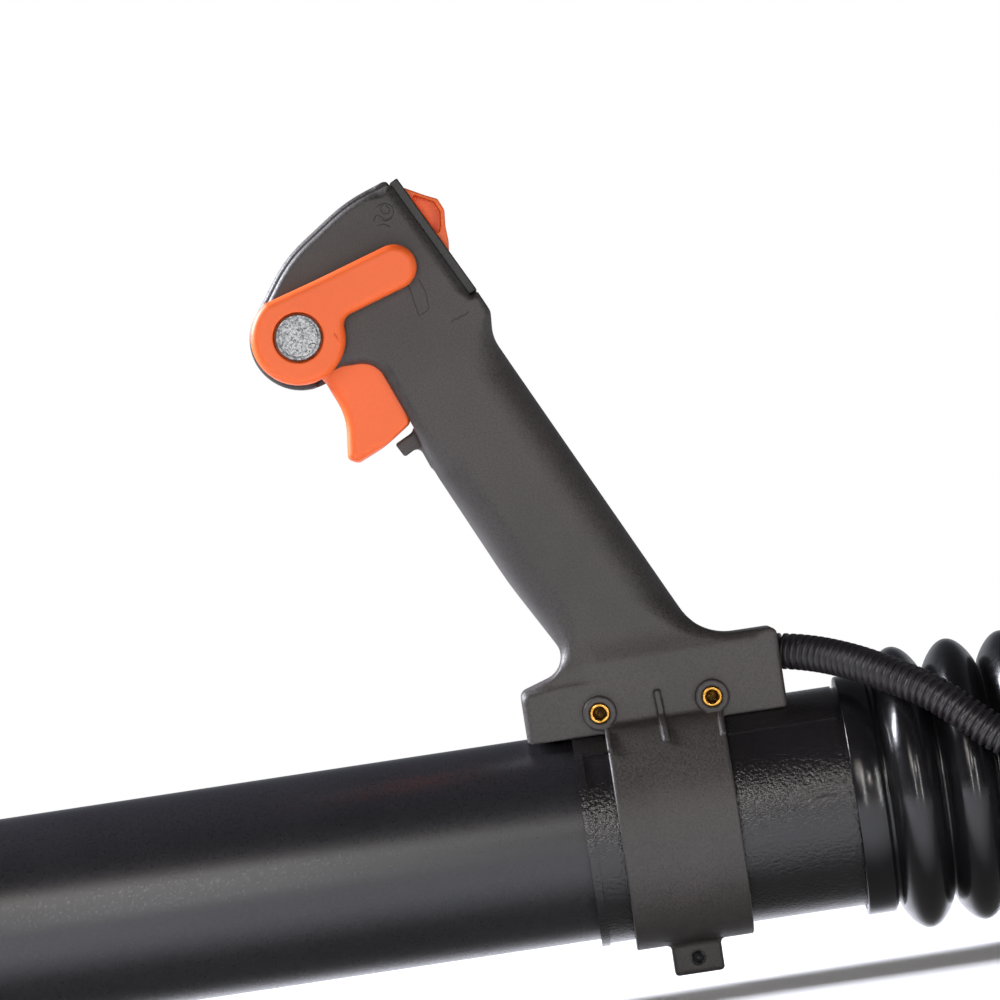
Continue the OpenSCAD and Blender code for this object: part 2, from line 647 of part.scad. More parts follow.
module tube_seal() {
  color(black_c) pipe_x(socket_r + 0.9, blow_r + 0.05, seal_x - 2, seal_x + 2);
}
// A peg that stands out of a tube's wall underneath
module peg(x, r0, r1) {
  intersection() {
    translate([x, 0, -r1 - 1]) cylinder(r = peg_r, h = r1 - r0 + 3);
    pipe_x(r1, r0, x - 10, x + 10);
  }
}
module blow_tube() {
  color(black_c) {
    pipe_x(blow_r, blow_r - tube_wall, blow_x0, blow_x1);
    for (x = [peg_x, front_peg_x]) peg(x, blow_r - 0.5, blow_r + tube_wall - 0.2);
  }
}
module nozzle_tube() {
  socket_end = nozzle_x1 - 44;
  tip_x = nozzle_x0 + 26;
  color(black_c) difference() {
    translate([nozzle_x0, 0, 0]) rotate([0, 90, 0]) rotate_extrude($fn = 128) polygon([
      [nozzle_tip_r - tube_wall, 0], [nozzle_tip_r, 0], [nozzle_tip_r, tip_x - nozzle_x0],
      [nozzle_socket_r, socket_end - nozzle_x0 - 6], [nozzle_socket_r, nozzle_len - 3],
      [nozzle_socket_r + 0.9, nozzle_len - 3], [nozzle_socket_r + 0.9, nozzle_len], [socket_r, nozzle_len],
      [socket_r, socket_end - nozzle_x0], [socket_r - 2, socket_end - nozzle_x0 - 6],
      [nozzle_tip_r - tube_wall, tip_x - nozzle_x0]]);
    peg_slot(front_peg_x, nozzle_x1 + 1, blow_r - 1, nozzle_socket_r + 2);
  }
}

// Height of the bellows' wall at a share t of the pitch, with tall round crests and narrow valleys
function wave(t) = pow(abs(sin(180 * t)), 0.75);
module bellows_hose() {
  n = 12;
  span = convolutions * n;
  end_x = first_valley + hose_pitch * convolutions;
  outer = [for (i = [0:span])
    [valley_r + (crest_r - valley_r) * wave(i / n), first_valley + hose_pitch * i / n]];
  inner = [for (i = [span:-1:0])
    [valley_r - hose_wall + (crest_r - valley_r - 0.4) * wave(i / n), first_valley + hose_pitch * i / n]];
  color(gloss_c) rotate([0, 90, 0]) rotate_extrude($fn = 96) polygon(concat(
    [[hose_bore, hose_x0], [front_cuff_r, hose_x0], [front_cuff_r, first_valley - 1.5]],
    outer,
    [[rear_cuff_r, end_x + 2], [rear_cuff_r, cuff_x], [cuff_bore_r, cuff_x], [cuff_bore_r, rear_cuff_x0],
     [valley_r - hose_wall, end_x + 2]],
    inner,
    [[hose_bore, control_end + 0.3]]));
}
module hose_clamp_band() {
  color(zinc_c) pipe_x(rear_cuff_r + 0.9, rear_cuff_r, clamp_x - clamp_w / 2, clamp_x + clamp_w / 2);
}
module hose_clamp_housing() {
  z = rear_cuff_r + 0.9;
  color(zinc_c) difference() {
    block([clamp_x - 6.5, -9, z], [clamp_x + 6.5, 9, z + 9.6]);
    bar_x(z, clamp_x - 20, clamp_x + 20);
    bar_y(clamp_x, z + 4.8, 3.7, -20, 20);
  }
}
module hose_clamp_screw() {
  z = rear_cuff_r + 5.7;
  color(zinc_c) {
    bar_y(clamp_x, z, 3.6, -8.5, 9);
    difference() {
      translate([clamp_x, -9.4, z]) rotate([90, 0, 0]) cylinder(r = 4.6, h = 5, $fn = 6);
      block([clamp_x - 5, -15, z - 0.7], [clamp_x + 5, -13, z + 0.7]);
    }
    bar_y(clamp_x, z, 3, -9.5, -8.4);
  }
}

module conduit() { color(black_c) swept(conduit_points, conduit_r, 12); }
module conduit_clip() {
  color(black_c) difference() {
    union() {
      translate([clip_x - 4.5, clip_y, 0]) rotate([0, 90, 0]) cylinder(r = conduit_r + clip_gap + 2, h = 9);
      block([clip_x - 4.5, clip_y, -6.5], [clip_x + 4.5, -rear_cuff_r + 2.5, 6.5]);
      bar_x(rear_cuff_r + 1.5, clip_x - 4.5, clip_x + 4.5);
    }
    translate([clip_x - 20, clip_y, 0]) rotate([0, 90, 0]) cylinder(r = conduit_r + clip_gap, h = 40);
    bar_x(rear_cuff_r + 0.02, clip_x - 20, clip_x + 20);
  }
}
module conduit_boot() {
  color(black_c) translate([boot_x0, tail_y, 0]) rotate([0, 90, 0]) difference() {
    cylinder(r = conduit_r + 1.6, h = boot_x1 - boot_x0);
    translate([0, 0, -1]) cylinder(r = conduit_r + 0.3, h = 6);
    translate([-1.8, 0, -1]) cylinder(r = casing_r + 0.1, h = 60);
    translate([2.2, -2.2, -1]) cylinder(r = lead_r + 0.1, h = 60);
    translate([2.4, 2.2, -1]) cylinder(r = lead_r + 0.1, h = 60);
  }
}
tail_tip = casing_points[3];
module tail_casing() { color(black_c) swept(casing_points, casing_r, 10); }
module tail_ferrule() {
  color(zinc_c) translate(tail_tip) rotate([0, 90, 0]) difference() {
    cylinder(r = casing_r + 0.7, h = ferrule_len);
    translate([0, 0, -1]) cylinder(r = wire_r + 0.3, h = ferrule_len + 2);
    translate([0, 0, -1]) cylinder(r = casing_r + 0.15, h = 1.6);
  }
}
module tail_wire() {
  color(zinc_c) translate(tail_tip) {
    rotate([0, 90, 0]) translate([0, 0, wire_pull]) cylinder(r = wire_r, h = ferrule_len + 4);
    translate([wire_pull + ferrule_len + 5, 0, 0]) rotate([90, 0, 0]) cylinder(r = nipple_r, h = 6, center = true);
  }
}
module tail_leads() { color(black_c) for (route = lead_points) swept(route, lead_r, 8); }
module lead_connectors() {
  color(brass_c) for (route = lead_points) translate(route[4]) rotate([0, 90, 0]) difference() {
    union() {
      cylinder(r = 2.2, h = 8);
      translate([0, 0, 8]) cylinder(r = 1.6, h = 9);
    }
    translate([0, 0, -1]) cylinder(r = lead_r + 0.25, h = 2.2);
  }
}

translate([-cuff_x, 0, 0]) {
  left_shell();
  right_shell();
  threaded_inserts();
  clamp_screws();
  shell_screws();
  cruise_lever();
  throttle_cam();
  friction_washer();
  pivot_bolt();
  pivot_sleeve();
  pivot_nut();
  trigger();
  trigger_spring();
  switch_bezel();
  switch_body();
  switch_rocker();
  switch_pin();
  switch_terminals();
  throttle_wire();
  throttle_casing();
  cable_adjuster();
  adjuster_nut();
  switch_leads();
  conduit_gland();
  control_tube();
  tube_seal();
  blow_tube();
  nozzle_tube();
  bellows_hose();
  hose_clamp_band();
  hose_clamp_housing();
  hose_clamp_screw();
  conduit();
  conduit_clip();
  conduit_boot();
  tail_casing();
  tail_ferrule();
  tail_wire();
  tail_leads();
  lead_connectors();
}
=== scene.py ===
"""Looks of a backpack leaf blower's air tube: control handle, tubes, bellows hose and cable conduit.

Lengths in the classes are millimetres on the handle's own axes: X along the air tube towards the fan,
Y away from the operator's left, Z up, with the handle's centre 275 mm ahead of the part's origin.
"""

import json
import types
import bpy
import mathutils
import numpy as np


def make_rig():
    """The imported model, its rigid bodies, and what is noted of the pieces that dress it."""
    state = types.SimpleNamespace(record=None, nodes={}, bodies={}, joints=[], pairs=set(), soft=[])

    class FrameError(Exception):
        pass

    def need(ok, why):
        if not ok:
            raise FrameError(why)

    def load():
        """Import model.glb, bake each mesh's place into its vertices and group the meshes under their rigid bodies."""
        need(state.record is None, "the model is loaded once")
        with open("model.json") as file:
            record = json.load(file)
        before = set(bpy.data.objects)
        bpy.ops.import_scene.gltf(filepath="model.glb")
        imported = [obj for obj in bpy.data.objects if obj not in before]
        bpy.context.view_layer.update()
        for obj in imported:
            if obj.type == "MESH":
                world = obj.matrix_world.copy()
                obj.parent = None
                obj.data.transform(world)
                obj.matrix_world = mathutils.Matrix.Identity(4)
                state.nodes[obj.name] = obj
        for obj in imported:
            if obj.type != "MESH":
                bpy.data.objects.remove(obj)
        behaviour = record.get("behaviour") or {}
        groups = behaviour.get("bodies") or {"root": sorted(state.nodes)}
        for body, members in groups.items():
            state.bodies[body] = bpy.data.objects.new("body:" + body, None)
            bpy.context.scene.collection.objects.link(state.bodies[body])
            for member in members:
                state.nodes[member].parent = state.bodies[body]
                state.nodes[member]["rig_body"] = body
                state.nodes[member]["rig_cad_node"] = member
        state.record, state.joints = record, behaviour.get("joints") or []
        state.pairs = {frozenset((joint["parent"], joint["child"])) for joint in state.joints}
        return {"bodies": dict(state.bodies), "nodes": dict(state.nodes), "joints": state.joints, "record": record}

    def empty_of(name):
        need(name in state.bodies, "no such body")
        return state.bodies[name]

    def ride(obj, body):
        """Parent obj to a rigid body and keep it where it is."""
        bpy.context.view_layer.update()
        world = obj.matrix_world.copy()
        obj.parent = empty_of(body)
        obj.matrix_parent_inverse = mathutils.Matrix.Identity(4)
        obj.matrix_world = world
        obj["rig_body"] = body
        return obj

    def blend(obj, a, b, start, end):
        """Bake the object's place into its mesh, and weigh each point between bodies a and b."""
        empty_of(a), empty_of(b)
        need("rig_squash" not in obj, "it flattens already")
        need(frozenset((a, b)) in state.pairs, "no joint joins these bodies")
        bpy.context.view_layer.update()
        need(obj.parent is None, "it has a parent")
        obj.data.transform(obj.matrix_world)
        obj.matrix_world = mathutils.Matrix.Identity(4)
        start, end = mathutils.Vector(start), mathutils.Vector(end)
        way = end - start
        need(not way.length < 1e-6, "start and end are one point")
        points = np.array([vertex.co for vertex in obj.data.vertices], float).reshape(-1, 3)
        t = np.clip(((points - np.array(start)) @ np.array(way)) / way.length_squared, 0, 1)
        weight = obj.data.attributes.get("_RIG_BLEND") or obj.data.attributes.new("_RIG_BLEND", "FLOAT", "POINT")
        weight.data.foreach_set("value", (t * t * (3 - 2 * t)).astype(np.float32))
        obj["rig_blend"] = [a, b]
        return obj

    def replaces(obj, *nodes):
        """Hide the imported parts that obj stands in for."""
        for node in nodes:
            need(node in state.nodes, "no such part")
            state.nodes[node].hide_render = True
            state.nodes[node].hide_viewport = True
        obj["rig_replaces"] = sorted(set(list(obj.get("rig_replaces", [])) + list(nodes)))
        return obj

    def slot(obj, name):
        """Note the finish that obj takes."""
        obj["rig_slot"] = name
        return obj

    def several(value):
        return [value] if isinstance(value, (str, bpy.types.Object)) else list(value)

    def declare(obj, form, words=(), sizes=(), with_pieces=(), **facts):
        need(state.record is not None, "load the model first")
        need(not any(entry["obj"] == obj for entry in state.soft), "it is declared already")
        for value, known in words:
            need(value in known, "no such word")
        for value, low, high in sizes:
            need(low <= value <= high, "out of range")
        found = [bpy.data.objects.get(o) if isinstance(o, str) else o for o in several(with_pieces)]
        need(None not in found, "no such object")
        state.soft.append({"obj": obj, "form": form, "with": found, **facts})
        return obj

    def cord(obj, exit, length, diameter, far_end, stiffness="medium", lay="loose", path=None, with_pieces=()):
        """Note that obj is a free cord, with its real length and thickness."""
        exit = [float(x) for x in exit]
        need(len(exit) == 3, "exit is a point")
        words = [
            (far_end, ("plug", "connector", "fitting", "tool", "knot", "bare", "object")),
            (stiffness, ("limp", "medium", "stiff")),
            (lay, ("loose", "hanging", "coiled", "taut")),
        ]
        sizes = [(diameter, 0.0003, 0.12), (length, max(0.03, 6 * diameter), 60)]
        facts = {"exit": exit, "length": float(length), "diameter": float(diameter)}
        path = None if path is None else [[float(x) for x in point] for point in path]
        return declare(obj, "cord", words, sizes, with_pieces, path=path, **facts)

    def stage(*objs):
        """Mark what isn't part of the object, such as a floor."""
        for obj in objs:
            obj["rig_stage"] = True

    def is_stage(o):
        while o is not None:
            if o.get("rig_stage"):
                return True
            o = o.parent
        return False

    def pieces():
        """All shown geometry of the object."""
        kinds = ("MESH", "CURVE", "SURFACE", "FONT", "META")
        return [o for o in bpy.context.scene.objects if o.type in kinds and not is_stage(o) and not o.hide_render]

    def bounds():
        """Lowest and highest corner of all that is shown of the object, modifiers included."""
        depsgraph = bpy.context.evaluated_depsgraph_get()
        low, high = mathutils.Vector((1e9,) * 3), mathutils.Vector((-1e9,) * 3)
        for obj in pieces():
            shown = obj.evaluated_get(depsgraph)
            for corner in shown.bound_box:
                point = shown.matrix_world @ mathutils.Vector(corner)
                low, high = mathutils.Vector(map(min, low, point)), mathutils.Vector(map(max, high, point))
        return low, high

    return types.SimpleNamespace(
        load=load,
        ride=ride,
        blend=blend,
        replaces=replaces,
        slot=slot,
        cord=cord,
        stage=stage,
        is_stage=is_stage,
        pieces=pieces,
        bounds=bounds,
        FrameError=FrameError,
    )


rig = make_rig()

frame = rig.load()

import json
import logging
import math
from collections.abc import Callable, Sequence
from dataclasses import dataclass, field
from enum import Enum

import bpy
import numpy as np
from mathutils import Matrix, Vector

log = logging.getLogger("leaf_blower")

MM = 0.001
CUFF_X = 275.0
Array = np.ndarray
Field = Callable[[Array, Array, Array], Array]


class Body(Enum):
    """The bodies that the rebuilt pieces ride on."""

    HOSE_END = "hose_end"
    HANDLE = "handle"
    TRIGGER = "trigger"
    LEVER = "lever"
    ROCKER = "rocker"


class Slot(Enum):
    """The record's material slots."""

    HANDLE = "handle_plastic"
    ORANGE = "orange_plastic"
    TUBE = "tube_plastic"
    HOSE = "hose_plastic"
    BLACK = "black_plastic"
    JACKET = "cable_jacket"
    SEAL = "seal_rubber"
    ZINC = "zinc_steel"
    BRASS = "brass"


class Side(Enum):
    """The two halves of the handle: the sign is the side of Y = 0 that each one fills."""

    LEFT = -1
    RIGHT = 1


# ---------------------------------------------------------------- places and colours


def at(x: float, y: float, z: float) -> Vector:
    """Turns a place on the handle's axes, in millimetres, into the part's own metres."""
    return Vector(((x - CUFF_X) * MM, y * MM, z * MM))


def linear(code: str) -> tuple[float, float, float, float]:
    """Turns an sRGB hex colour into linear light.

    Args:
        code: Six hex digits with a leading hash.

    Returns:
        Red, green, blue and a full alpha.
    """
    parts = [int(code[i : i + 2], 16) / 255 for i in (1, 3, 5)]
    light = [c / 12.92 if c <= 0.04045 else ((c + 0.055) / 1.055) ** 2.4 for c in parts]
    return (*light, 1.0)


def smoothstep(low: float, high: float, value: Array) -> Array:
    """Rises smoothly from 0 at low to 1 at high."""
    t = np.clip((value - low) / (high - low), 0.0, 1.0)
    return t * t * (3 - 2 * t)


# ---------------------------------------------------------------- outlines and solids as distances


@dataclass(frozen=True)
class Corner:
    """A corner of an outline in the X-Z plane, with the radius that rounds it."""

    x: float
    z: float
    r: float = 0.0


def corners(*places: tuple[float, float, float]) -> list[Corner]:
    """Makes corners from (x, z, radius) places."""
    return [Corner(*p) for p in places]


def arc(cx: float, cz: float, r: float, start: float, end: float, steps: int) -> list[Corner]:
    """Makes sharp corners along an arc.

    Args:
        cx: Centre along X.
        cz: Centre along Z.
        r: Radius.
        start: First angle in degrees, from +X towards +Z.
        end: Last angle in degrees.
        steps: Number of chords.

    Returns:
        The corners from start to end.
    """
    angles = np.radians(np.linspace(start, end, steps + 1))
    return [Corner(cx + r * math.cos(t), cz + r * math.sin(t)) for t in angles]


def rounded(path: Sequence[Corner]) -> Array:
    """Turns a closed path of corners into points, with each corner as an arc.

    Args:
        path: Corners in order round the outline.

    Returns:
        An array of X-Z points.
    """
    points: list[Array] = []
    for i, c in enumerate(path):
        b = np.array([c.x, c.z])
        before, after = path[i - 1], path[(i + 1) % len(path)]
        a, d = np.array([before.x, before.z]), np.array([after.x, after.z])
        u, v = (a - b) / np.linalg.norm(a - b), (d - b) / np.linalg.norm(d - b)
        half = math.acos(float(np.clip(u @ v, -1, 1))) / 2
        if c.r < 0.2 or half > math.radians(88.5):
            points.append(b)
            continue
        limit = 0.49 * min(np.linalg.norm(a - b), np.linalg.norm(d - b))
        reach = min(c.r / math.tan(half), limit)
        radius = reach * math.tan(half)
        centre = b + (u + v) / np.linalg.norm(u + v) * radius / math.sin(half)
        first = b + u * reach - centre
        sign = -1 if u[0] * v[1] - u[1] * v[0] > 0 else 1
        turn = math.pi - 2 * half
        for t in np.linspace(0, sign * turn, max(2, math.ceil(math.degrees(turn) / 5)) + 1):
            cos, sin = math.cos(t), math.sin(t)
            turned_to = (first[0] * cos - first[1] * sin, first[0] * sin + first[1] * cos)
            points.append(centre + np.array(turned_to))
    return np.array(points)


def moved_in(path: Sequence[Corner], distance: float) -> list[Corner]:
    """Moves the corners of a clockwise path inwards.

    Args:
        path: Corners in clockwise order.
        distance: How far in.

    Returns:
        The moved corners, with their radii kept.
    """
    result = []
    for i, c in enumerate(path):
        a, d = path[i - 1], path[(i + 1) % len(path)]
        u = np.array([c.x - a.x, c.z - a.z])
        v = np.array([d.x - c.x, d.z - c.z])
        u, v = u / np.linalg.norm(u), v / np.linalg.norm(v)
        inward = np.array([u[1] + v[1], -u[0] - v[0]])
        k = distance / (1 + u[0] * v[0] + u[1] * v[1])
        result.append(Corner(c.x + inward[0] * k, c.z + inward[1] * k, c.r))
    return result


class Outline:
    """A closed outline whose signed distance is looked up on a fine map, negative inside."""

    def __init__(self, path: Sequence[Corner], step: float = 0.4, margin: float = 26.0) -> None:
        """Measures the distance map.

        Args:
            path: Corners in order round the outline.
            step: Spacing of the map in millimetres.
            margin: How far the map reaches past the outline.
        """
        points = rounded(path)
        self.low = points.min(0) - margin
        self.step = step
        size = np.ceil((points.max(0) + margin - self.low) / step).astype(int) + 1
        gx, gz = np.meshgrid(*(self.low[k] + step * np.arange(size[k]) for k in (0, 1)), indexing="ij")
        best = np.full(gx.shape, 1e9)
        inside = np.zeros(gx.shape, bool)
        for a, b in zip(points, np.roll(points, -1, axis=0)):
            edge = b - a
            length = float(edge @ edge)
            if length < 1e-9:
                continue
            t = np.clip(((gx - a[0]) * edge[0] + (gz - a[1]) * edge[1]) / length, 0, 1)
            best = np.minimum(best, (gx - a[0] - t * edge[0]) ** 2 + (gz - a[1] - t * edge[1]) ** 2)
            if abs(edge[1]) > 1e-9:
                crosses = (a[1] > gz) != (b[1] > gz)
                inside ^= crosses & (gx < a[0] + (gz - a[1]) / edge[1] * edge[0])
        self.map = np.where(inside, -1.0, 1.0) * np.sqrt(best)

    def distance(self, x: Array, z: Array) -> Array:
        """Looks up the signed distance.

        Args:
            x: Places along X.
            z: Places along Z.

        Returns:
            Distances in millimetres, negative inside.
        """
        fx = np.clip((x - self.low[0]) / self.step, 0, self.map.shape[0] - 1.001)
        fz = np.clip((z - self.low[1]) / self.step, 0, self.map.shape[1] - 1.001)
        ix, iz = fx.astype(int), fz.astype(int)
        tx, tz = fx - ix, fz - iz
        near = self.map[ix, iz] * (1 - tz) + self.map[ix, iz + 1] * tz
        far = self.map[ix + 1, iz] * (1 - tz) + self.map[ix + 1, iz + 1] * tz
        return near * (1 - tx) + far * tx


def rounded_pair(a: Array, b: Array, r: float | Array) -> Array:
    """Joins two distances as the sides of one solid, with the edge between them rounded.

    Args:
        a: Distance to the first side, negative inside.
        b: Distance to the second side.
        r: Radius of the edge.

    Returns:
        The distance to the solid.
    """
    qa, qb = a + r, b + r
    return np.minimum(np.maximum(qa, qb), 0) + np.hypot(np.maximum(qa, 0), np.maximum(qb, 0)) - r


def joined(a: Array, b: Array, blend: float = 0.0) -> Array:
    """Joins two solids, with a fillet of about the blend's size where they meet."""
    if blend <= 0:
        return np.minimum(a, b)
    h = np.maximum(blend - np.abs(a - b), 0) / blend
    return np.minimum(a, b) - h * h * blend / 4


def joined_softly(a: Array, b: Array, blend: Array) -> Array:
    """Joins two solids with a fillet whose size varies from place to place."""
    h = np.maximum(blend - np.abs(a - b), 0) / blend
    return np.minimum(a, b) - h * h * blend / 4


def cut(a: Array, b: Array, blend: float = 0.0) -> Array:
    """Cuts solid b out of solid a, with a small round along the new edge."""
    return -joined(-a, b, blend)


def box(p: tuple[Array, Array, Array], low: Sequence[float], high: Sequence[float], r: float = 0.0) -> Array:
    """Distance to a box between two corners.

    Args:
        p: X, Y and Z of the places.
        low: Lowest corner.
        high: Highest corner.
        r: Radius of the edges.

    Returns:
        Distances in millimetres.
    """
    q = [np.abs(v - (a + b) / 2) - (b - a) / 2 + r for v, a, b in zip(p, low, high)]
    outside = np.sqrt(sum(np.maximum(v, 0) ** 2 for v in q))
    return outside + np.minimum(np.maximum(np.maximum(q[0], q[1]), q[2]), 0) - r


def bar(
    p: tuple[Array, Array, Array], x: float, z: float, r: float, y0: float, y1: float, edge: float = 0.0
) -> Array:
    """Distance to a round bar along Y.

    Args:
        p: X, Y and Z of the places.
        x: Axis along X.
        z: Axis along Z.
        r: Radius of the bar.
        y0: Lowest Y.
        y1: Highest Y.
        edge: Radius of its rims.

    Returns:
        Distances in millimetres.
    """
    return rounded_pair(np.hypot(p[0] - x, p[2] - z) - r, np.abs(p[1] - (y0 + y1) / 2) - (y1 - y0) / 2, edge)


# ---------------------------------------------------------------- meshes


def make_object(name: str, points: Array, faces: Array, smooth: bool = True) -> bpy.types.Object:
    """Makes a mesh object from points on the handle's axes.

    Args:
        name: Name of the piece.
        points: Places in millimetres on the handle's axes.
        faces: Corner numbers, three or four to a face.
        smooth: Whether the faces shade as one surface.

    Returns:
        The object, linked to the scene.
    """
    mesh = bpy.data.meshes.new(name)
    placed = (points - np.array([CUFF_X, 0, 0])) * MM
    count, sides = faces.shape
    mesh.vertices.add(len(placed))
    mesh.vertices.foreach_set("co", placed.astype(np.float32).ravel())
    mesh.loops.add(count * sides)
    mesh.loops.foreach_set("vertex_index", faces.astype(np.int32).ravel())
    mesh.polygons.add(count)
    mesh.polygons.foreach_set("loop_start", np.arange(0, count * sides, sides, dtype=np.int32))
    mesh.polygons.foreach_set("use_smooth", np.full(count, smooth))
    mesh.update(calc_edges=True)
    mesh.validate()
    obj = bpy.data.objects.new(name, mesh)
    bpy.context.scene.collection.objects.link(obj)
    return obj


def joined_grids(grids: Sequence[tuple[Array, Array]]) -> tuple[Array, Array]:
    """Puts several point and face lists into one.

    Args:
        grids: Pairs of points and faces.

    Returns:
        One pair with the faces renumbered.
    """
    starts = np.cumsum([0] + [len(p) for p, _ in grids[:-1]])
    return np.vstack([p for p, _ in grids]), np.vstack([f + s for (_, f), s in zip(grids, starts)])


BLOCK = 4


def block_values(solid: Field, low: Array, blocks: Array, cell: float) -> Array:
    """Measures a solid over a grid, exactly near its surface and roughly elsewhere.

    Args:
        solid: The solid's distance function.
        low: Lowest corner of the grid.
        blocks: Number of blocks of grid points each way.
        cell: Spacing of the grid.

    Returns:
        Distances on the whole grid.
    """
    middle = (BLOCK - 1) / 2
    axes = [low[k] + cell * (BLOCK * np.arange(blocks[k]) + middle) for k in range(3)]
    coarse = np.empty(tuple(blocks))
    for i, x in enumerate(axes[0]):
        gy, gz = np.meshgrid(axes[1], axes[2], indexing="ij")
        coarse[i] = solid(np.full(gy.shape, x), gy, gz)
    near = np.argwhere(np.abs(coarse) < cell * (BLOCK + 2.2))
    inner = np.stack(np.meshgrid(*[np.arange(BLOCK)] * 3, indexing="ij"), -1).reshape(-1, 3)
    values = coarse
    for k in range(3):
        values = np.repeat(values, BLOCK, axis=k)
    for part in np.array_split(near, max(1, len(near) // 4000)):
        index = (part[:, None, :] * BLOCK + inner[None]).reshape(-1, 3)
        place = low + cell * index
        values[index[:, 0], index[:, 1], index[:, 2]] = solid(place[:, 0], place[:, 1], place[:, 2])
    return values


def skinned(solid: Field, low: Sequence[float], high: Sequence[float], cell: float) -> tuple[Array, Array]:
    """Meshes a solid from its distance function, one point to each grid cell that its skin crosses.

    Args:
        solid: The solid's distance function, in millimetres.
        low: Lowest corner to look in.
        high: Highest corner to look in.
        cell: Spacing of the grid.

    Returns:
        Points on the skin, and faces of four corners.
    """
    start = np.array(low, float)
    blocks = np.ceil((np.array(high) - start) / cell / BLOCK).astype(int) + 1
    values = block_values(solid, start, blocks, cell)
    inside = values < 0
    shape = np.array(values.shape) - 1
    offsets = [np.array([i, j, k]) for i in (0, 1) for j in (0, 1) for k in (0, 1)]
    windows = [tuple(slice(o[k], o[k] + shape[k]) for k in range(3)) for o in offsets]
    count = sum(inside[window].astype(np.int8) for window in windows)
    cells = np.argwhere((count > 0) & (count < 8))
    number = np.full(tuple(shape), -1, np.int64)
    number[tuple(cells.T)] = np.arange(len(cells))
    total = np.zeros((len(cells), 3))
    hits = np.zeros(len(cells))
    for a in offsets:
        for k in range(3):
            if a[k]:
                continue
            b = a.copy()
            b[k] = 1
            va, vb = values[tuple((cells + a).T)], values[tuple((cells + b).T)]
            crossing = (va < 0) != (vb < 0)
            t = np.where(crossing, va / np.where(crossing, va - vb, 1), 0)
            total += np.where(crossing, 1, 0)[:, None] * (a + t[:, None] * (b - a))
            hits += crossing
    points = start + cell * (cells + total / hits[:, None])
    faces = []
    for k in range(3):
        u, v = (k + 1) % 3, (k + 2) % 3
        here = [slice(1, shape[i]) for i in range(3)]
        here[k] = slice(0, shape[k])
        ahead = list(here)
        ahead[k] = slice(1, shape[k] + 1)
        change = inside[tuple(here)].astype(np.int8) - inside[tuple(ahead)].astype(np.int8)
        found = np.argwhere(change != 0)
        corner = found + np.array([0 if i == k else 1 for i in range(3)])
        ring = []
        for du, dv in ((1, 1), (0, 1), (0, 0), (1, 0)):
            c = corner.copy()
            c[:, u] -= du
            c[:, v] -= dv
            ring.append(number[tuple(c.T)])
        quads = np.stack(ring, 1)
        out = change[tuple(found.T)] > 0
        faces.append(np.where(out[:, None], quads, quads[:, ::-1]))
    return pulled_to_skin(solid, points, cell), np.vstack(faces)


def pulled_to_skin(solid: Field, points: Array, cell: float) -> Array:
    """Moves points onto a solid's skin, along its slope.

    Args:
        solid: The solid's distance function.
        points: Places near the skin.
        cell: Spacing of the grid they came from, which limits each move.

    Returns:
        The moved points.
    """
    step = cell * 0.15
    for _ in range(2):
        value = solid(*points.T)
        rise = [solid(*(points + step * e).T) - solid(*(points - step * e).T) for e in np.eye(3)]
        slope = np.stack(rise, 1) / (2 * step)
        move = value[:, None] * slope / np.maximum((slope**2).sum(1), 0.3)[:, None]
        length = np.linalg.norm(move, axis=1, keepdims=True)
        points = points - move * np.minimum(1, 0.45 * cell / np.maximum(length, 1e-9))
    return points


def turned(profile: Array, place: Callable[[Array, Array, Array], Array], sides: int) -> tuple[Array, Array]:
    """Turns a closed profile round an axis.

    Args:
        profile: Rows of radius and place along the axis, closed back to the first.
        place: Turns radius, angle and place along the axis into points.
        sides: Number of steps round the axis.

    Returns:
        Points and faces.
    """
    n = len(profile)
    angle = np.repeat(np.arange(sides) * 2 * math.pi / sides, n)
    radius, along = np.tile(profile[:, 0], sides), np.tile(profile[:, 1], sides)
    ring, k = np.meshgrid(np.arange(sides), np.arange(n), indexing="ij")
    ahead, beside = (ring + 1) % sides, (k + 1) % n
    quads = np.stack([ring * n + k, ring * n + beside, ahead * n + beside, ahead * n + k], -1)
    return place(radius, angle, along), quads.reshape(-1, 4)


def along_x(radius: Array, angle: Array, along: Array) -> Array:
    """Places turned points round the air tube's axis."""
    return np.stack([along, radius * np.sin(angle), radius * np.cos(angle)], 1)


def along_y(x: float, z: float) -> Callable[[Array, Array, Array], Array]:
    """Makes a rule that places turned points round an axis along Y."""
    return lambda r, t, y: np.stack([x + r * np.sin(t), y, z + r * np.cos(t)], 1)


def smooth_line(points: Array, spacing: float) -> Array:
    """Runs an even curve through points.

    Args:
        points: Places along the line.
        spacing: Distance between the new places.

    Returns:
        Places at equal distances along a Catmull-Rom curve.
    """
    padded = np.vstack([2 * points[0] - points[1], points, 2 * points[-1] - points[-2]])
    dense = []
    for a, b, c, d in zip(padded, padded[1:], padded[2:], padded[3:]):
        t = np.linspace(0, 1, 12, endpoint=False)[:, None]
        square = (2 * a - 5 * b + 4 * c - d) * t**2
        cube = (3 * b - a - 3 * c + d) * t**3
        dense.append(0.5 * (2 * b + (c - a) * t + square + cube))
    curve = np.vstack([*dense, points[-1:]])
    return straight_line(curve, spacing)


def straight_line(points: Array, spacing: float) -> Array:
    """Runs even steps along straight lines between points.

    Args:
        points: Places along the line.
        spacing: Distance between the new places.

    Returns:
        Places at equal distances.
    """
    run = np.concatenate([[0], np.cumsum(np.linalg.norm(np.diff(points, axis=0), axis=1))])
    even = np.linspace(0, run[-1], max(2, round(run[-1] / spacing)) + 1)
    return np.stack([np.interp(even, run, points[:, k]) for k in range(3)], 1)


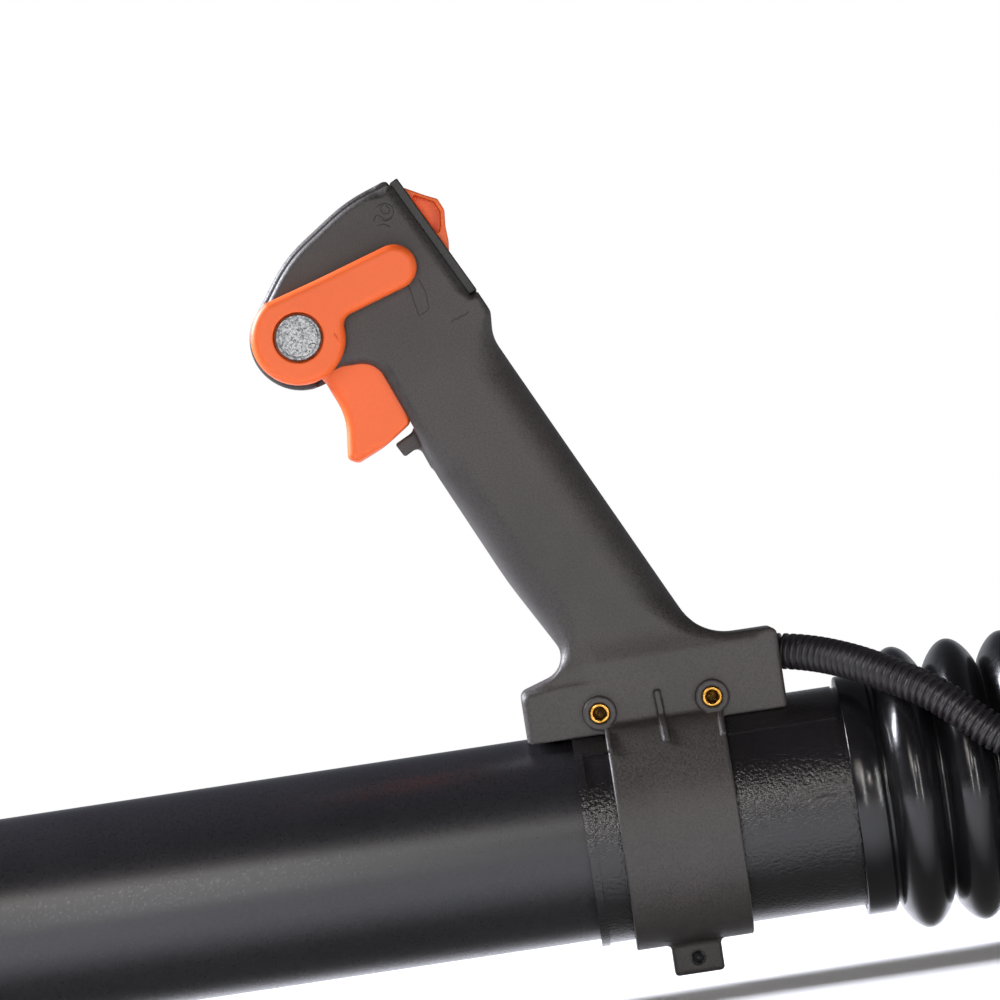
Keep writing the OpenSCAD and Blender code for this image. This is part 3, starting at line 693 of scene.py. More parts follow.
def swept(line: Array, radii: Array, sides: int, bore: float = 0.0) -> tuple[Array, Array]:
    """Sweeps a round section along a line, with its own radius at each place.

    Args:
        line: Places along the middle.
        radii: Radius at each place.
        sides: Number of steps round.
        bore: Radius of the hole, or 0 for a solid with closed ends.

    Returns:
        Points and faces.
    """
    ahead = np.gradient(line, axis=0)
    ahead /= np.linalg.norm(ahead, axis=1)[:, None]
    across = np.cross(ahead, np.array([0.0, 0.0, 1.0]))
    across /= np.linalg.norm(across, axis=1)[:, None]
    over = np.cross(across, ahead)
    rows = [(line, np.asarray(radii, float))]
    tip = 0.02 if bore <= 0 else bore
    ends = [(line[-1:], np.array([tip])), (line[:1], np.array([tip]))]
    frames = [(across, over), (across[-1:], over[-1:]), (across[:1], over[:1])]
    if bore > 0:
        ends = [(line[::-1], np.full(len(line), bore))]
        frames = [(across, over), (across[::-1], over[::-1])]
    angle = np.arange(sides) * 2 * math.pi / sides
    rings = []
    for (middle, radius), (side, up) in zip(rows + ends, frames):
        turn = np.cos(angle)[None, :, None] * side[:, None] + np.sin(angle)[None, :, None] * up[:, None]
        rings.append(middle[:, None] + radius[:, None, None] * turn)
    points = np.vstack(rings)
    n = len(points)
    i, k = np.meshgrid(np.arange(n), np.arange(sides), indexing="ij")
    nxt, beside = (i + 1) % n, (k + 1) % sides
    quads = np.stack([i * sides + k, nxt * sides + k, nxt * sides + beside, i * sides + beside], -1)
    if bore <= 0:
        quads = quads[:-1]
    return points.reshape(-1, 3), quads.reshape(-1, 4)


# ---------------------------------------------------------------- finishes


def add_node(
    tree: bpy.types.NodeTree, kind: str, settings: dict, links: dict | None = None
) -> bpy.types.Node:
    """Adds a node with its settings and links.

    Args:
        tree: The material's or the world's nodes.
        kind: Blender's name of the node type.
        settings: Values by the name of an attribute or an input.
        links: Source node and output, by the name or number of an input.

    Returns:
        The new node.
    """
    node = tree.nodes.new(kind)
    for name, value in settings.items():
        if isinstance(name, str) and hasattr(node, name):
            setattr(node, name, value)
        else:
            node.inputs[name].default_value = value
    for name, (source, output) in (links or {}).items():
        tree.links.new(source.outputs[output], node.inputs[name])
    return node


def new_material(name: str) -> tuple[bpy.types.Material, bpy.types.NodeTree]:
    """Starts a material with empty nodes."""
    material = bpy.data.materials.new(name)
    material.use_nodes = True
    material.node_tree.nodes.clear()
    return material, material.node_tree


def ramp(tree: bpy.types.NodeTree, source: tuple, stops: Sequence[tuple[float, str]]) -> bpy.types.Node:
    """Adds a colour ramp.

    Args:
        tree: The material's nodes.
        source: Node and output that drive it.
        stops: Places from 0 to 1 with sRGB colours.

    Returns:
        The ramp node.
    """
    node = add_node(tree, "ShaderNodeValToRGB", {}, {"Fac": source})
    elements = node.color_ramp.elements
    while len(elements) < len(stops):
        elements.new(0.5)
    for element, (place, code) in zip(elements, stops):
        element.position, element.color = place, linear(code)
    return node


@dataclass(frozen=True)
class Moulded:
    """A moulded plastic or rubber: a tint that drifts a little, and the mould's fine grain.

    Attributes:
        name: Material and process.
        tint: Main colour.
        drift: Colour of the faint cloudy patches.
        roughness: Mean roughness of the skin.
        grain_mm: Size of the mould's grain.
        depth_mm: Height of the grain.
        swing: How far roughness varies with the grain.
        ior: Refractive index.
        cloud_mm: Size of the patches.
        sparkle: Share of the grain's pits in the tint.
    """

    name: str
    tint: str
    drift: str
    roughness: float
    grain_mm: float
    depth_mm: float
    swing: float = 0.05
    ior: float = 1.5
    cloud_mm: float = 45.0
    sparkle: float = 0.12

    def make(self) -> bpy.types.Material:
        """Makes the material.

        Returns:
            The material.
        """
        material, tree = new_material(self.name)
        where = add_node(tree, "ShaderNodeTexCoord", {})
        cloud = add_node(
            tree, "ShaderNodeTexNoise", {"Scale": 1 / (self.cloud_mm * MM), "Detail": 3.0, "Roughness": 0.55},
            {"Vector": (where, "Object")},
        )
        grain = add_node(
            tree, "ShaderNodeTexNoise", {"Scale": 1 / (self.grain_mm * MM), "Detail": 2.0, "Roughness": 0.6},
            {"Vector": (where, "Object")},
        )
        tints = ramp(tree, (cloud, "Fac"), [(0.32, self.drift), (0.62, self.tint)])
        pits = ramp(tree, (grain, "Fac"), [(0.34, "#a6a6a6"), (0.62, "#ffffff")])
        colour = add_node(
            tree, "ShaderNodeMix", {"data_type": "RGBA", "blend_type": "MULTIPLY", 0: self.sparkle * 2},
            {6: (tints, "Color"), 7: (pits, "Color")},
        )
        rough = add_node(
            tree, "ShaderNodeMapRange",
            {
                "From Min": 0.3, "From Max": 0.7,
                "To Min": self.roughness - self.swing, "To Max": self.roughness + self.swing,
            },
            {"Value": (grain, "Fac")},
        )
        bump = add_node(
            tree, "ShaderNodeBump", {"Strength": 1.0, "Distance": self.depth_mm * MM},
            {"Height": (grain, "Fac")},
        )
        shader = add_node(
            tree, "ShaderNodeBsdfPrincipled", {"IOR": self.ior, "Metallic": 0.0},
            {"Base Color": (colour, 2), "Roughness": (rough, "Result"), "Normal": (bump, "Normal")},
        )
        add_node(tree, "ShaderNodeOutputMaterial", {}, {"Surface": (shader, "BSDF")})
        return material


@dataclass(frozen=True)
class Metal:
    """A bare or plated metal: crystal patches in tone and gloss, and fine tool marks.

    Attributes:
        name: Metal and process.
        light: Colour of the bright patches.
        dark: Colour of the dull patches.
        roughness: Mean roughness.
        patch_mm: Size of the crystals.
        mark_mm: Spacing of the tool marks.
        depth_mm: Height of the marks.
    """

    name: str
    light: str
    dark: str
    roughness: float
    patch_mm: float
    mark_mm: float = 0.3
    depth_mm: float = 0.004

    def make(self) -> bpy.types.Material:
        """Makes the material.

        Returns:
            The material.
        """
        material, tree = new_material(self.name)
        where = add_node(tree, "ShaderNodeTexCoord", {})
        bend = add_node(
            tree, "ShaderNodeTexNoise", {"Scale": 1.4 / (self.patch_mm * MM), "Detail": 2.0},
            {"Vector": (where, "Object")},
        )
        shift = add_node(
            tree, "ShaderNodeVectorMath", {"operation": "MULTIPLY_ADD", 1: (0.9 * self.patch_mm * MM,) * 3},
            {0: (bend, "Color"), 2: (where, "Object")},
        )
        crystal = add_node(
            tree, "ShaderNodeTexVoronoi", {"Scale": 1 / (self.patch_mm * MM), "Randomness": 1.0},
            {"Vector": (shift, "Vector")},
        )
        tone = add_node(tree, "ShaderNodeRGBToBW", {}, {"Color": (crystal, "Color")})
        colour = ramp(tree, (tone, "Val"), [(0.2, self.dark), (0.5, self.light), (0.8, self.dark)])
        rough = add_node(
            tree, "ShaderNodeMapRange", {"To Min": self.roughness * 0.6, "To Max": self.roughness * 1.5},
            {"Value": (tone, "Val")},
        )
        marks = add_node(
            tree, "ShaderNodeTexNoise", {"Scale": 1 / (self.mark_mm * MM), "Detail": 2.0},
            {"Vector": (where, "Object")},
        )
        height = add_node(tree, "ShaderNodeMath", {"operation": "ADD"}, {0: (marks, "Fac"), 1: (tone, "Val")})
        bump = add_node(
            tree, "ShaderNodeBump", {"Strength": 1.0, "Distance": self.depth_mm * MM},
            {"Height": (height, "Value")},
        )
        shader = add_node(
            tree, "ShaderNodeBsdfPrincipled", {"Metallic": 1.0},
            {"Base Color": (colour, "Color"), "Roughness": (rough, "Result"), "Normal": (bump, "Normal")},
        )
        add_node(tree, "ShaderNodeOutputMaterial", {}, {"Surface": (shader, "BSDF")})
        return material


@dataclass
class Finishes:
    """Every material of the part, each made once."""

    # Glass-filled nylon from a spark-eroded mould: matt, warm grey, with a fine even stipple
    handle: bpy.types.Material = field(
        default_factory=lambda: Moulded(
            "glass_filled_nylon_spark_eroded", "#443f3d", "#3b3735", 0.52, 0.75, 0.12, 0.08, 1.5, 40.0, 0.42
        ).make()
    )
    # ABS from a lightly blasted mould: saturated orange with a broad soft sheen
    orange: bpy.types.Material = field(
        default_factory=lambda: Moulded(
            "abs_blasted_mould", "#ee6420", "#ea5f1c", 0.5, 0.6, 0.012, 0.03, 1.53, 60.0, 0.04
        ).make()
    )
    # Blow-moulded polyethylene: near black and satin, with a sharp pale edge against the light
    tube: bpy.types.Material = field(
        default_factory=lambda: Moulded(
            "polyethylene_blow_moulded", "#222124", "#1c1c1f", 0.3, 1.1, 0.012, 0.04, 1.51, 70.0, 0.1
        ).make()
    )
    # Injection-moulded nylon with an orange-peel skin, which breaks a highlight into sparks
    control: bpy.types.Material = field(
        default_factory=lambda: Moulded(
            "nylon_orange_peel", "#211f20", "#1b1a1b", 0.19, 1.25, 0.34, 0.05, 1.53, 60.0, 0.1
        ).make()
    )
    # Moulded thermoplastic elastomer: black and glossy, so its ribs carry long thin highlights
    hose: bpy.types.Material = field(
        default_factory=lambda: Moulded(
            "elastomer_moulded_bellows", "#161517", "#111113", 0.2, 2.4, 0.03, 0.04, 1.51, 50.0, 0.05
        ).make()
    )
    # Moulded acetal and nylon fittings: plain black, half matt
    black: bpy.types.Material = field(
        default_factory=lambda: Moulded(
            "acetal_moulded", "#171718", "#121213", 0.42, 0.6, 0.02, 0.05, 1.48, 30.0, 0.15
        ).make()
    )
    # Corrugated polypropylene conduit: dark grey-brown with a soft line of light on each ridge
    jacket: bpy.types.Material = field(
        default_factory=lambda: Moulded(
            "polypropylene_corrugated", "#262325", "#1f1c1f", 0.36, 0.8, 0.015, 0.05, 1.49, 20.0, 0.15
        ).make()
    )
    # Nitrile rubber: dead black and dull
    seal: bpy.types.Material = field(
        default_factory=lambda: Moulded(
            "nitrile_rubber", "#1a1a1a", "#141414", 0.7, 0.5, 0.02, 0.05, 1.52, 20.0, 0.1
        ).make()
    )
    # Steel with hot-dipped zinc: a spangle of bright and dull crystals
    spangle: bpy.types.Material = field(
        default_factory=lambda: Metal(
            "steel_hot_dip_zinc", "#a9abad", "#6b6d70", 0.44, 0.6, 0.3, 0.006
        ).make()
    )
    # Steel with electroplated zinc: even, bright and slightly blue
    zinc: bpy.types.Material = field(
        default_factory=lambda: Metal("steel_electroplated_zinc", "#c9cdd2", "#aeb3ba", 0.27, 2.5).make()
    )
    # Turned brass: deep yellow with tight tool marks
    brass: bpy.types.Material = field(
        default_factory=lambda: Metal("brass_turned", "#d9a653", "#b98637", 0.22, 1.2, 0.25, 0.006).make()
    )
    # Painted shade: a dark nylon tint that stands for the shaded bottom of a fine moulded line
    groove_shade: bpy.types.Material = field(
        default_factory=lambda: Moulded("nylon_in_shadow", "#2a2828", "#252424", 0.8, 0.5, 0.01).make()
    )


def dress(obj: bpy.types.Object, material: bpy.types.Material, slot: Slot) -> bpy.types.Object:
    """Gives a piece its material and its slot.

    Args:
        obj: The piece.
        material: Its material.
        slot: The record's slot it belongs to.

    Returns:
        The piece.
    """
    obj.data.materials.clear()
    obj.data.materials.append(material)
    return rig.slot(obj, slot.value)


def report(obj: bpy.types.Object) -> None:
    """Logs a finished piece."""
    log.info("%s: %d faces, %s", obj.name, len(obj.data.polygons), obj.get("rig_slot"))


# ---------------------------------------------------------------- studio


@dataclass
class Studio:
    """Camera, lights, background and floor.

    Attributes:
        aim: Place that the camera looks at, in metres.
        distance: Distance of the camera, in metres.
        width: Width of the view at the aim, in metres.
        roll: Turn of the view, in degrees.
        floor_z: Height of the floor, in metres.
    """

    aim: tuple[float, float, float] = (-0.3191, 0.0, 0.1242)
    distance: float = 2.4
    width: float = 0.360
    roll: float = 8.6
    floor_z: float = -0.0615

    def build_camera(self) -> None:
        """Makes the camera, level and square to the handle's left side, rolled about its own axis."""
        data = bpy.data.cameras.new("camera")
        data.sensor_width = 36.0
        data.lens = data.sensor_width * self.distance / self.width
        data.clip_start, data.clip_end = 0.05, 50.0
        camera = bpy.data.objects.new("camera", data)
        turn = math.radians(self.roll)
        right = Vector((math.cos(turn), 0, -math.sin(turn)))
        up = Vector((math.sin(turn), 0, math.cos(turn)))
        back = Vector((0, -1, 0))
        camera.matrix_world = Matrix.Translation(Vector(self.aim) + back * self.distance) @ Matrix(
            (right, up, back)
        ).transposed().to_4x4()
        bpy.context.scene.collection.objects.link(camera)
        bpy.context.scene.camera = camera

    def add_light(
        self, name: str, place: Sequence[float], size: tuple[float, float], watts: float, tint: str
    ) -> None:
        """Adds a soft box that faces the handle.

        Args:
            name: Name of the light.
            place: Where it stands, in metres.
            size: Width and height in metres.
            watts: Its power.
            tint: Its colour.
        """
        data = bpy.data.lights.new(name, "AREA")
        data.shape, data.size, data.size_y = "RECTANGLE", *size
        data.energy, data.color = watts, linear(tint)[:3]
        lamp = bpy.data.objects.new(name, data)
        lamp.location = place
        lamp.rotation_mode = "QUATERNION"
        lamp.rotation_quaternion = (Vector(self.aim) - Vector(place)).to_track_quat("-Z", "Y")
        bpy.context.scene.collection.objects.link(lamp)

    def build_lights(self) -> None:
        """Makes the key, a small front light, a low fill, two tall strips and an edge light from behind."""
        self.add_light("key", (-1.0, -2.0, 0.95), (0.7, 0.7), 6.8, "#fff6ee")
        self.add_light("front", (0.1, -2.5, 0.75), (0.26, 0.26), 5.0, "#fffaf4")
        self.add_light("fill", (0.2, -2.5, -0.3), (1.8, 0.8), 4, "#fff1e6")
        self.add_light("strip_left", (-0.55, -1.5, 0.22), (0.09, 1.0), 4.6, "#ffffff")
        self.add_light("strip_right", (0.62, -1.4, 0.18), (0.09, 1.0), 5.2, "#ffffff")
        self.add_light("edge", (-2.1, 0.55, 1.25), (0.9, 0.9), 170, "#f2f4ff")

    def build_world(self) -> None:
        """Makes a background that looks white, and lights the part from all round with a dimmer ceiling."""
        world = bpy.data.worlds.new("studio")
        bpy.context.scene.world = world
        world.use_nodes = True
        tree = world.node_tree
        tree.nodes.clear()
        where = add_node(tree, "ShaderNodeTexCoord", {})
        parts = add_node(tree, "ShaderNodeSeparateXYZ", {}, {"Vector": (where, "Generated")})
        height = ramp(
            tree, (parts, "Z"),
            [(0.0, "#f4f5fa"), (0.16, "#e9ecf4"), (0.42, "#80828a"), (1.0, "#5c5c62")],
        )
        depth = add_node(
            tree, "ShaderNodeMapRange", {"From Min": -0.7, "From Max": 0.3, "To Min": 0.1, "To Max": 0.5},
            {"Value": (parts, "Y")},
        )
        glow = add_node(
            tree, "ShaderNodeBackground", {}, {"Color": (height, "Color"), "Strength": (depth, "Result")}
        )
        plain = add_node(tree, "ShaderNodeBackground", {"Color": (1.0, 1.0, 1.0, 1.0), "Strength": 1.0})
        seen = add_node(tree, "ShaderNodeLightPath", {})
        both = add_node(
            tree, "ShaderNodeMixShader", {},
            {0: (seen, "Is Camera Ray"), 1: (glow, "Background"), 2: (plain, "Background")},
        )
        add_node(tree, "ShaderNodeOutputWorld", {}, {"Surface": (both, "Shader")})

    def build_floor(self) -> None:
        """Makes a round pale floor whose rim fades into the background."""
        middle_x, radius, sides = -0.37, 1.0, 96
        steps = np.arange(sides) * 2 * math.pi / sides
        rim = [(radius * math.cos(t) + middle_x, radius * math.sin(t), self.floor_z) for t in steps]
        mesh = bpy.data.meshes.new("floor")
        mesh.from_pydata(rim, [], [list(range(len(rim)))])
        floor = bpy.data.objects.new("floor", mesh)
        bpy.context.scene.collection.objects.link(floor)
        material, tree = new_material("painted_board")
        where = add_node(tree, "ShaderNodeTexCoord", {})
        centre = add_node(
            tree, "ShaderNodeVectorMath", {"operation": "SUBTRACT", 1: (middle_x, 0.0, self.floor_z)},
            {0: (where, "Object")},
        )
        reach = add_node(tree, "ShaderNodeVectorMath", {"operation": "LENGTH"}, {0: (centre, "Vector")})
        fade = add_node(
            tree, "ShaderNodeMapRange",
            {"interpolation_type": "SMOOTHSTEP", "From Min": 0.35, "From Max": 0.95},
            {"Value": (reach, "Value")},
        )
        paint = add_node(
            tree, "ShaderNodeBsdfPrincipled", {"Base Color": linear("#fbfbfb"), "Roughness": 0.9, "IOR": 1.45}
        )
        clear = add_node(tree, "ShaderNodeBsdfTransparent", {})
        mix = add_node(
            tree, "ShaderNodeMixShader", {}, {0: (fade, "Result"), 1: (paint, "BSDF"), 2: (clear, "BSDF")}
        )
        add_node(tree, "ShaderNodeOutputMaterial", {}, {"Surface": (mix, "Shader")})
        mesh.materials.append(material)
        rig.stage(floor)

    def build(self) -> None:
        """Makes everything but the camera, and shows colours as they are."""
        bpy.context.scene.view_settings.view_transform = "Standard"
        self.build_world()
        self.build_lights()
        self.build_floor()


# ---------------------------------------------------------------- cable conduit and its tail


@dataclass
class CableConduit:
    """The corrugated conduit that carries the throttle cable and the stop switch's leads.

    Attributes:
        radius: Radius over the ridges.
        valley: Radius in the grooves.
        pitch: Distance from ridge to ridge.
        route: Places along its middle, from the handle to the boot.
    """

    radius: float = 6.5
    valley: float = 5.1
    pitch: float = 2.9
    route: tuple[tuple[float, float, float], ...] = (
        (46.2, -9, 55.8), (50.5, -10.4, 55), (56, -14.2, 53.8), (62, -19.6, 52.1), (68.5, -26, 49.7),
        (75, -32.6, 46.8), (81.5, -38.5, 43.4), (88, -43.4, 39.7), (95, -47.4, 35.4), (102, -50.7, 29.9),
        (109, -53.4, 23.4), (118, -56.2, 15.6), (128, -58.2, 8.8), (139, -59.3, 4), (151, -59.8, 1),
        (164, -59.8, 0), (178, -59.8, 0), (192, -59.8, 0), (206, -59.6, 0), (220, -58.9, 0), (232, -57.6, 0),
        (243, -56, 0), (254, -54.6, 0), (265, -53.4, 0), (276, -53, 0),
    )

    def build(self, finishes: Finishes) -> None:
        """Makes the conduit as a free cord that bends with the hose.

        Args:
            finishes: The part's materials.
        """
        steps = 12
        line = smooth_line(np.array(self.route, float), self.pitch / steps)
        phase = np.arange(len(line)) / steps
        ridge = np.clip(0.82 + 1.7 * np.cos(2 * math.pi * phase), 0, 1) ** 0.8
        radii = self.valley + (self.radius - self.valley) * ridge
        conduit = make_object("conduit_corrugated", *swept(line, radii, 36, bore=4.6))
        dress(conduit, finishes.jacket, Slot.JACKET)
        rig.blend(conduit, Body.HANDLE.value, Body.HOSE_END.value, start=at(76.5, 0, 0), end=at(236.5, 0, 0))
        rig.replaces(conduit, "conduit")
        path = [tuple(at(*p)) for p in line[::5]] + [tuple(at(*line[-1]))]
        length = sum((Vector(b) - Vector(a)).length for a, b in zip(path, path[1:]))
        tail = ["conduit_boot", "tail_casing", "tail_ferrule", "tail_wire", "tail_leads", "lead_connectors"]
        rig.cord(
            conduit, exit=path[0], length=length, diameter=2 * self.radius * MM, far_end="fitting",
            stiffness="stiff", lay="loose", path=path, with_pieces=[frame["nodes"][n] for n in tail],
        )
        report(conduit)


# ---------------------------------------------------------------- handle


@dataclass
class Pivot:
    """The axis that the trigger and the lever share."""

    x: float = -106.6
    z: float = 192.2
    sleeve_r: float = 4.5
    rim_r: float = 18.3


@dataclass
class SwitchPlace:
    """Where the stop switch sits on the head's rear face."""

    x: float = -51.5
    z: float = 219.6
    turn: float = -27.1

    def local(self, p: tuple[Array, Array, Array]) -> tuple[Array, Array, Array]:
        """Turns places into the switch's own axes: X outwards, Z up along the face."""
        c, s = math.cos(math.radians(self.turn)), math.sin(math.radians(self.turn))
        dx, dz = p[0] - self.x, p[2] - self.z
        return c * dx - s * dz, p[1], s * dx + c * dz

    def world(self, points: Array) -> Array:
        """Turns points on the switch's axes back into the handle's."""
        c, s = math.cos(math.radians(self.turn)), math.sin(math.radians(self.turn))
        x, y, z = points.T
        return np.stack([self.x + c * x + s * z, y, self.z - s * x + c * z], 1)


@dataclass
class HandleShells:
    """The two moulded halves of the control handle, with the band round the tube.

    Attributes:
        grip_half: Half the thickness of the grip and head.
        base_half: Half the width of the base.
        wall: Thickness of the wall.
        head_step: How far the left head stands back from the right half's rim.
        band_bore: Bore of the band.
        band_r: Outer radius of the band.
        band_mid: Middle of the band along X.
        band_w: Width of the band.
        insert_z: Height of the two bosses.
        insert_spacing: Distance between the bosses.
        boss_y: How far out the bosses stand.
        seat_r: Radius of the base's seat on the tube.
        seat_angle: How far the seat reaches to each side of the top, in degrees.
        conduit_y: Y of the conduit's hole in the base.
        conduit_z: Height of that hole.
        conduit_hole_r: Radius of that hole.
        screw_hole_r: Radius of the clamp screws' holes.
        posts: X and Z of the posts for the shell screws.
        cell: Spacing of the mesh.
    """

    grip_half: float = 17.3
    base_half: float = 19.0
    wall: float = 2.6
    head_step: float = 2.4
    band_bore: float = 39.6
    band_r: float = 43.5
    band_mid: float = 1.75
    band_w: float = 42.5
    insert_z: float = 43.6
    insert_spacing: float = 40.6
    boss_y: float = 21.4
    seat_r: float = 40.35
    seat_angle: float = 43.5
    conduit_y: float = -9.0
    conduit_z: float = 55.8
    conduit_hole_r: float = 7.1
    screw_hole_r: float = 2.7
    posts: tuple[tuple[float, float], ...] = ((-88, 226), (-37, 128), (-11, 80))
    cell: float = 0.6
    pivot: Pivot = field(default_factory=Pivot)
    switch: SwitchPlace = field(default_factory=SwitchPlace)

    def __post_init__(self) -> None:
        """Draws the outlines that both halves share."""
        p = self.pivot
        rear = corners(
            (-67.3, 244.3, 2.5), (-43.6, 198, 0.3), (-40.9, 199.3, 0.3), (-37.3, 191.6, 5), (-37.9, 182.2, 14)
        )
        low = corners(
            (19.5, 65, 20), (46.6, 64.8, 2.5), (46.6, 36, 0.3), (-47.3, 36, 0.3), (-47.4, 54.4, 3),
            (-26.7, 60.9, 9),
        )
        front = corners((-45.6, 94.2, 150), (-66.6, 139.4, 60), (-70.9, 154.4, 1.5))
        roof = corners((-80.9, 179.8, 13), (-92.8, 179.8, 6))
        crown = corners((-107.8, 221.9, 50), (-82.8, 239.1, 60))
        full = rear + low + front + roof + arc(p.x, p.z, p.rim_r, -66, -207, 28) + crown
        self.full = Outline(full)
        back = moved_in(full, self.head_step)
        face = np.array([full[1].x - full[0].x, full[1].z - full[0].z])
        slide = face / np.linalg.norm(face) * self.head_step * 1.1
        top = Corner(full[0].x + slide[0], full[0].z + slide[1], full[0].r)
        rim = arc(p.x, p.z, p.rim_r - self.head_step, -66, -207, 28)
        self.left = Outline([top] + rear[1:] + low + front + roof + rim + back[-2:])
        self.base = Outline(
            corners(
                (-47.4, 34, 0.3), (-47.4, 54.4, 3), (-26.7, 60.9, 9), (-20, 66, 2), (16, 67, 2), (26, 65, 12),
                (46.6, 64.8, 2.5), (46.6, 34, 0.3),
            )
        )
        self.stub = Outline(
            corners(
                (-69.6, 154, 0.3), (-78.4, 149.6, 0.8), (-75.6, 144.6, 0.8), (-69.6, 147.8, 3),
                (-66.2, 140, 0.3), (-60, 141, 0.3), (-62, 154, 0.3),
            )
        )

    def edge_radius(self, x: Array, z: Array) -> Array:
        """Radius of the side edges: small on the head, large on the grip."""
        grip = smoothstep(200, 172, z + 0.18 * (x + 60)) * smoothstep(58, 84, z)
        cheek = smoothstep(-50, -64, x) * smoothstep(136, 156, z)
        rear = smoothstep(-11, -4, 0.89 * (x + 67.3) + 0.4555 * (z - 244.3)) * smoothstep(196, 202, z)
        return 2.4 + 2.0 * rear + 11.6 * grip * (1 - 0.78 * cheek)

    def skin(self, outline: Outline, p: tuple[Array, Array, Array]) -> Array:
        """Distance to the closed outer form, before anything is cut.

        Args:
            outline: The half's outline.
            p: X, distance from the parting plane, and Z.

        Returns:
            Distances in millimetres.
        """
        x, y, z = p
        grip = rounded_pair(outline.distance(x, z), y - self.grip_half, self.edge_radius(x, z))
        top = 4.5 + 5.5 * smoothstep(-40, -18, x)
        edge = 0.9 + top * smoothstep(45, 58, z)
        edge = np.maximum(edge, 3.0 * smoothstep(-36, -44, x))
        edge = edge + (1.8 - edge) * smoothstep(34, 43, x)
        base = rounded_pair(self.base.distance(x, z), y - self.base_half, edge)
        soft = 0.3 + 8.0 * smoothstep(53, 62, z)
        return np.maximum(joined_softly(grip, base, soft), outline.distance(x, z))

    def half(self, side: Side) -> Field:
        """Makes the distance function of one half.

        Args:
            side: Which half.

        Returns:
            The half's distance function.
        """
        outline = self.left if side is Side.LEFT else self.full

        def solid(x: Array, y: Array, z: Array) -> Array:
            """Distance to the half."""
            out = y * side.value
            away = np.abs(y)
            p = (x, away, z)
            d = self.skin(outline, p)
            radius = np.maximum(self.edge_radius(x, z) - self.wall, 1.2)
            within = outline.distance(x, z) + self.wall
            d = cut(d, rounded_pair(within, away - self.grip_half + self.wall, radius))
            d = joined(d, rounded_pair(self.stub.distance(x, z), away - 5, 0.9), 2.5)
            d = self.with_band(d, p)
            d = self.with_openings(d, p, side)
            if side is Side.RIGHT:
                # The rim that shows past the left half is round
                head = smoothstep(172, 178, z) * smoothstep(-70, -74, x - 0.35 * (z - 240))
                d = np.maximum(d, rounded_pair(outline.distance(x, z), -out, 2.3 * head + 0.05))
            return np.maximum(d, 0.04 - out)

        return solid

    def with_band(self, d: Array, p: tuple[Array, Array, Array]) -> Array:
        """Adds the band, its flange, the rib, the gussets and the bosses.

        Args:
            d: Distance so far.
            p: X, distance from the parting plane, and Z.

        Returns:
            The new distance.
        """
        x, y, z = p
        round_tube = np.hypot(y, z)
        thick = (self.band_r - self.band_bore) / 2
        across = np.abs(round_tube - self.band_bore - thick) - thick
        d = joined(d, rounded_pair(across, np.abs(x - self.band_mid) - self.band_w / 2, 0.7), 1.4)
        low, high = (self.band_mid - 9, -1, -self.band_r - 11), (self.band_mid + 9, 7, -self.band_r + 2)
        d = joined(d, box(p, low, high, 1.5), 2.0)
        lean = x - 0.05 * (40 - z)
        rib = box((lean, y, z), (0.2, self.base_half - 2, 31.4), (2.6, self.boss_y - 0.4, 48.8), 0.8)
        d = joined(d, rib, 0.5)
        foot = box((lean, y, z), (0.2, 20, 31.0), (2.6, 34, 41), 0.6)
        d = joined(d, np.maximum(foot, round_tube - self.band_r - 1.6), 0.4)
        for edge_x in (self.band_mid - self.band_w / 2 + 0.9, self.band_mid + self.band_w / 2 - 0.9):
            gusset = box(p, (edge_x - 0.9, 15, 30.4), (edge_x + 0.9, self.base_half + 0.6, 40.5), 0.5)
            leaning = np.maximum(gusset, (y - self.boss_y - 6.6 + 0.2 * (z - 30)) * 0.98)
            d = joined(d, leaning, 0.4)
            wing = np.maximum(
                box(p, (edge_x - 0.9, 24, 29.8), (edge_x + 0.9, 33, 38), 0.4), round_tube - self.band_r - 1.7
            )
            d = joined(d, wing, 0.4)
        for boss_x in (-self.insert_spacing / 2, self.insert_spacing / 2):
            d = joined(d, bar(p, boss_x, self.insert_z, 6, 0, self.boss_y, 0.5), 0.35)
        return d

    def with_openings(self, d: Array, p: tuple[Array, Array, Array], side: Side) -> Array:
        """Cuts the tube's seat, the holes and the openings for the trigger and the switch.

        Args:
            d: Distance so far.
            p: X, distance from the parting plane, and Z.
            side: Which half.

        Returns:
            The new distance.
        """
        x, y, z = p
        round_tube = np.hypot(y, z)
        on_seat = (z > 0) & (y < z * math.tan(math.radians(self.seat_angle)))
        d = cut(d, round_tube - np.where(on_seat, self.seat_r, self.band_bore))
        from_conduit = np.hypot(y * side.value - self.conduit_y, z - self.conduit_z)
        d = cut(d, rounded_pair(from_conduit - self.conduit_hole_r, np.abs(x - 45) - 15, 0), 0.2)
        for boss_x in (-self.insert_spacing / 2, self.insert_spacing / 2):
            if side is Side.LEFT:
                d = cut(d, bar(p, boss_x, self.insert_z, 3.75, 11, 30), 0.5)
                d = cut(d, bar(p, boss_x, self.insert_z, self.screw_hole_r, -1, 19))
            else:
                d = cut(d, bar(p, boss_x, self.insert_z, self.screw_hole_r, -1, 30))
                d = cut(d, bar(p, boss_x, self.insert_z, 4.6, self.boss_y - 5.2, 30), 0.4)
        if side is Side.LEFT:
            d = cut(d, bar(p, self.pivot.x, self.pivot.z, 7.3, -1, 30), 0.3)
        else:
            d = joined(d, bar(p, self.pivot.x, self.pivot.z, 9, 9.5, self.grip_half - self.wall + 1))
            d = cut(d, bar(p, self.pivot.x, self.pivot.z, 3.1, 0, 40))
            d = cut(d, bar(p, self.pivot.x, self.pivot.z, 5.9, 12.4, 40), 0.5)
            for post_x, post_z in self.posts:
                d = joined(d, bar(p, post_x, post_z, 4.6, 0, self.grip_half - self.wall + 1))
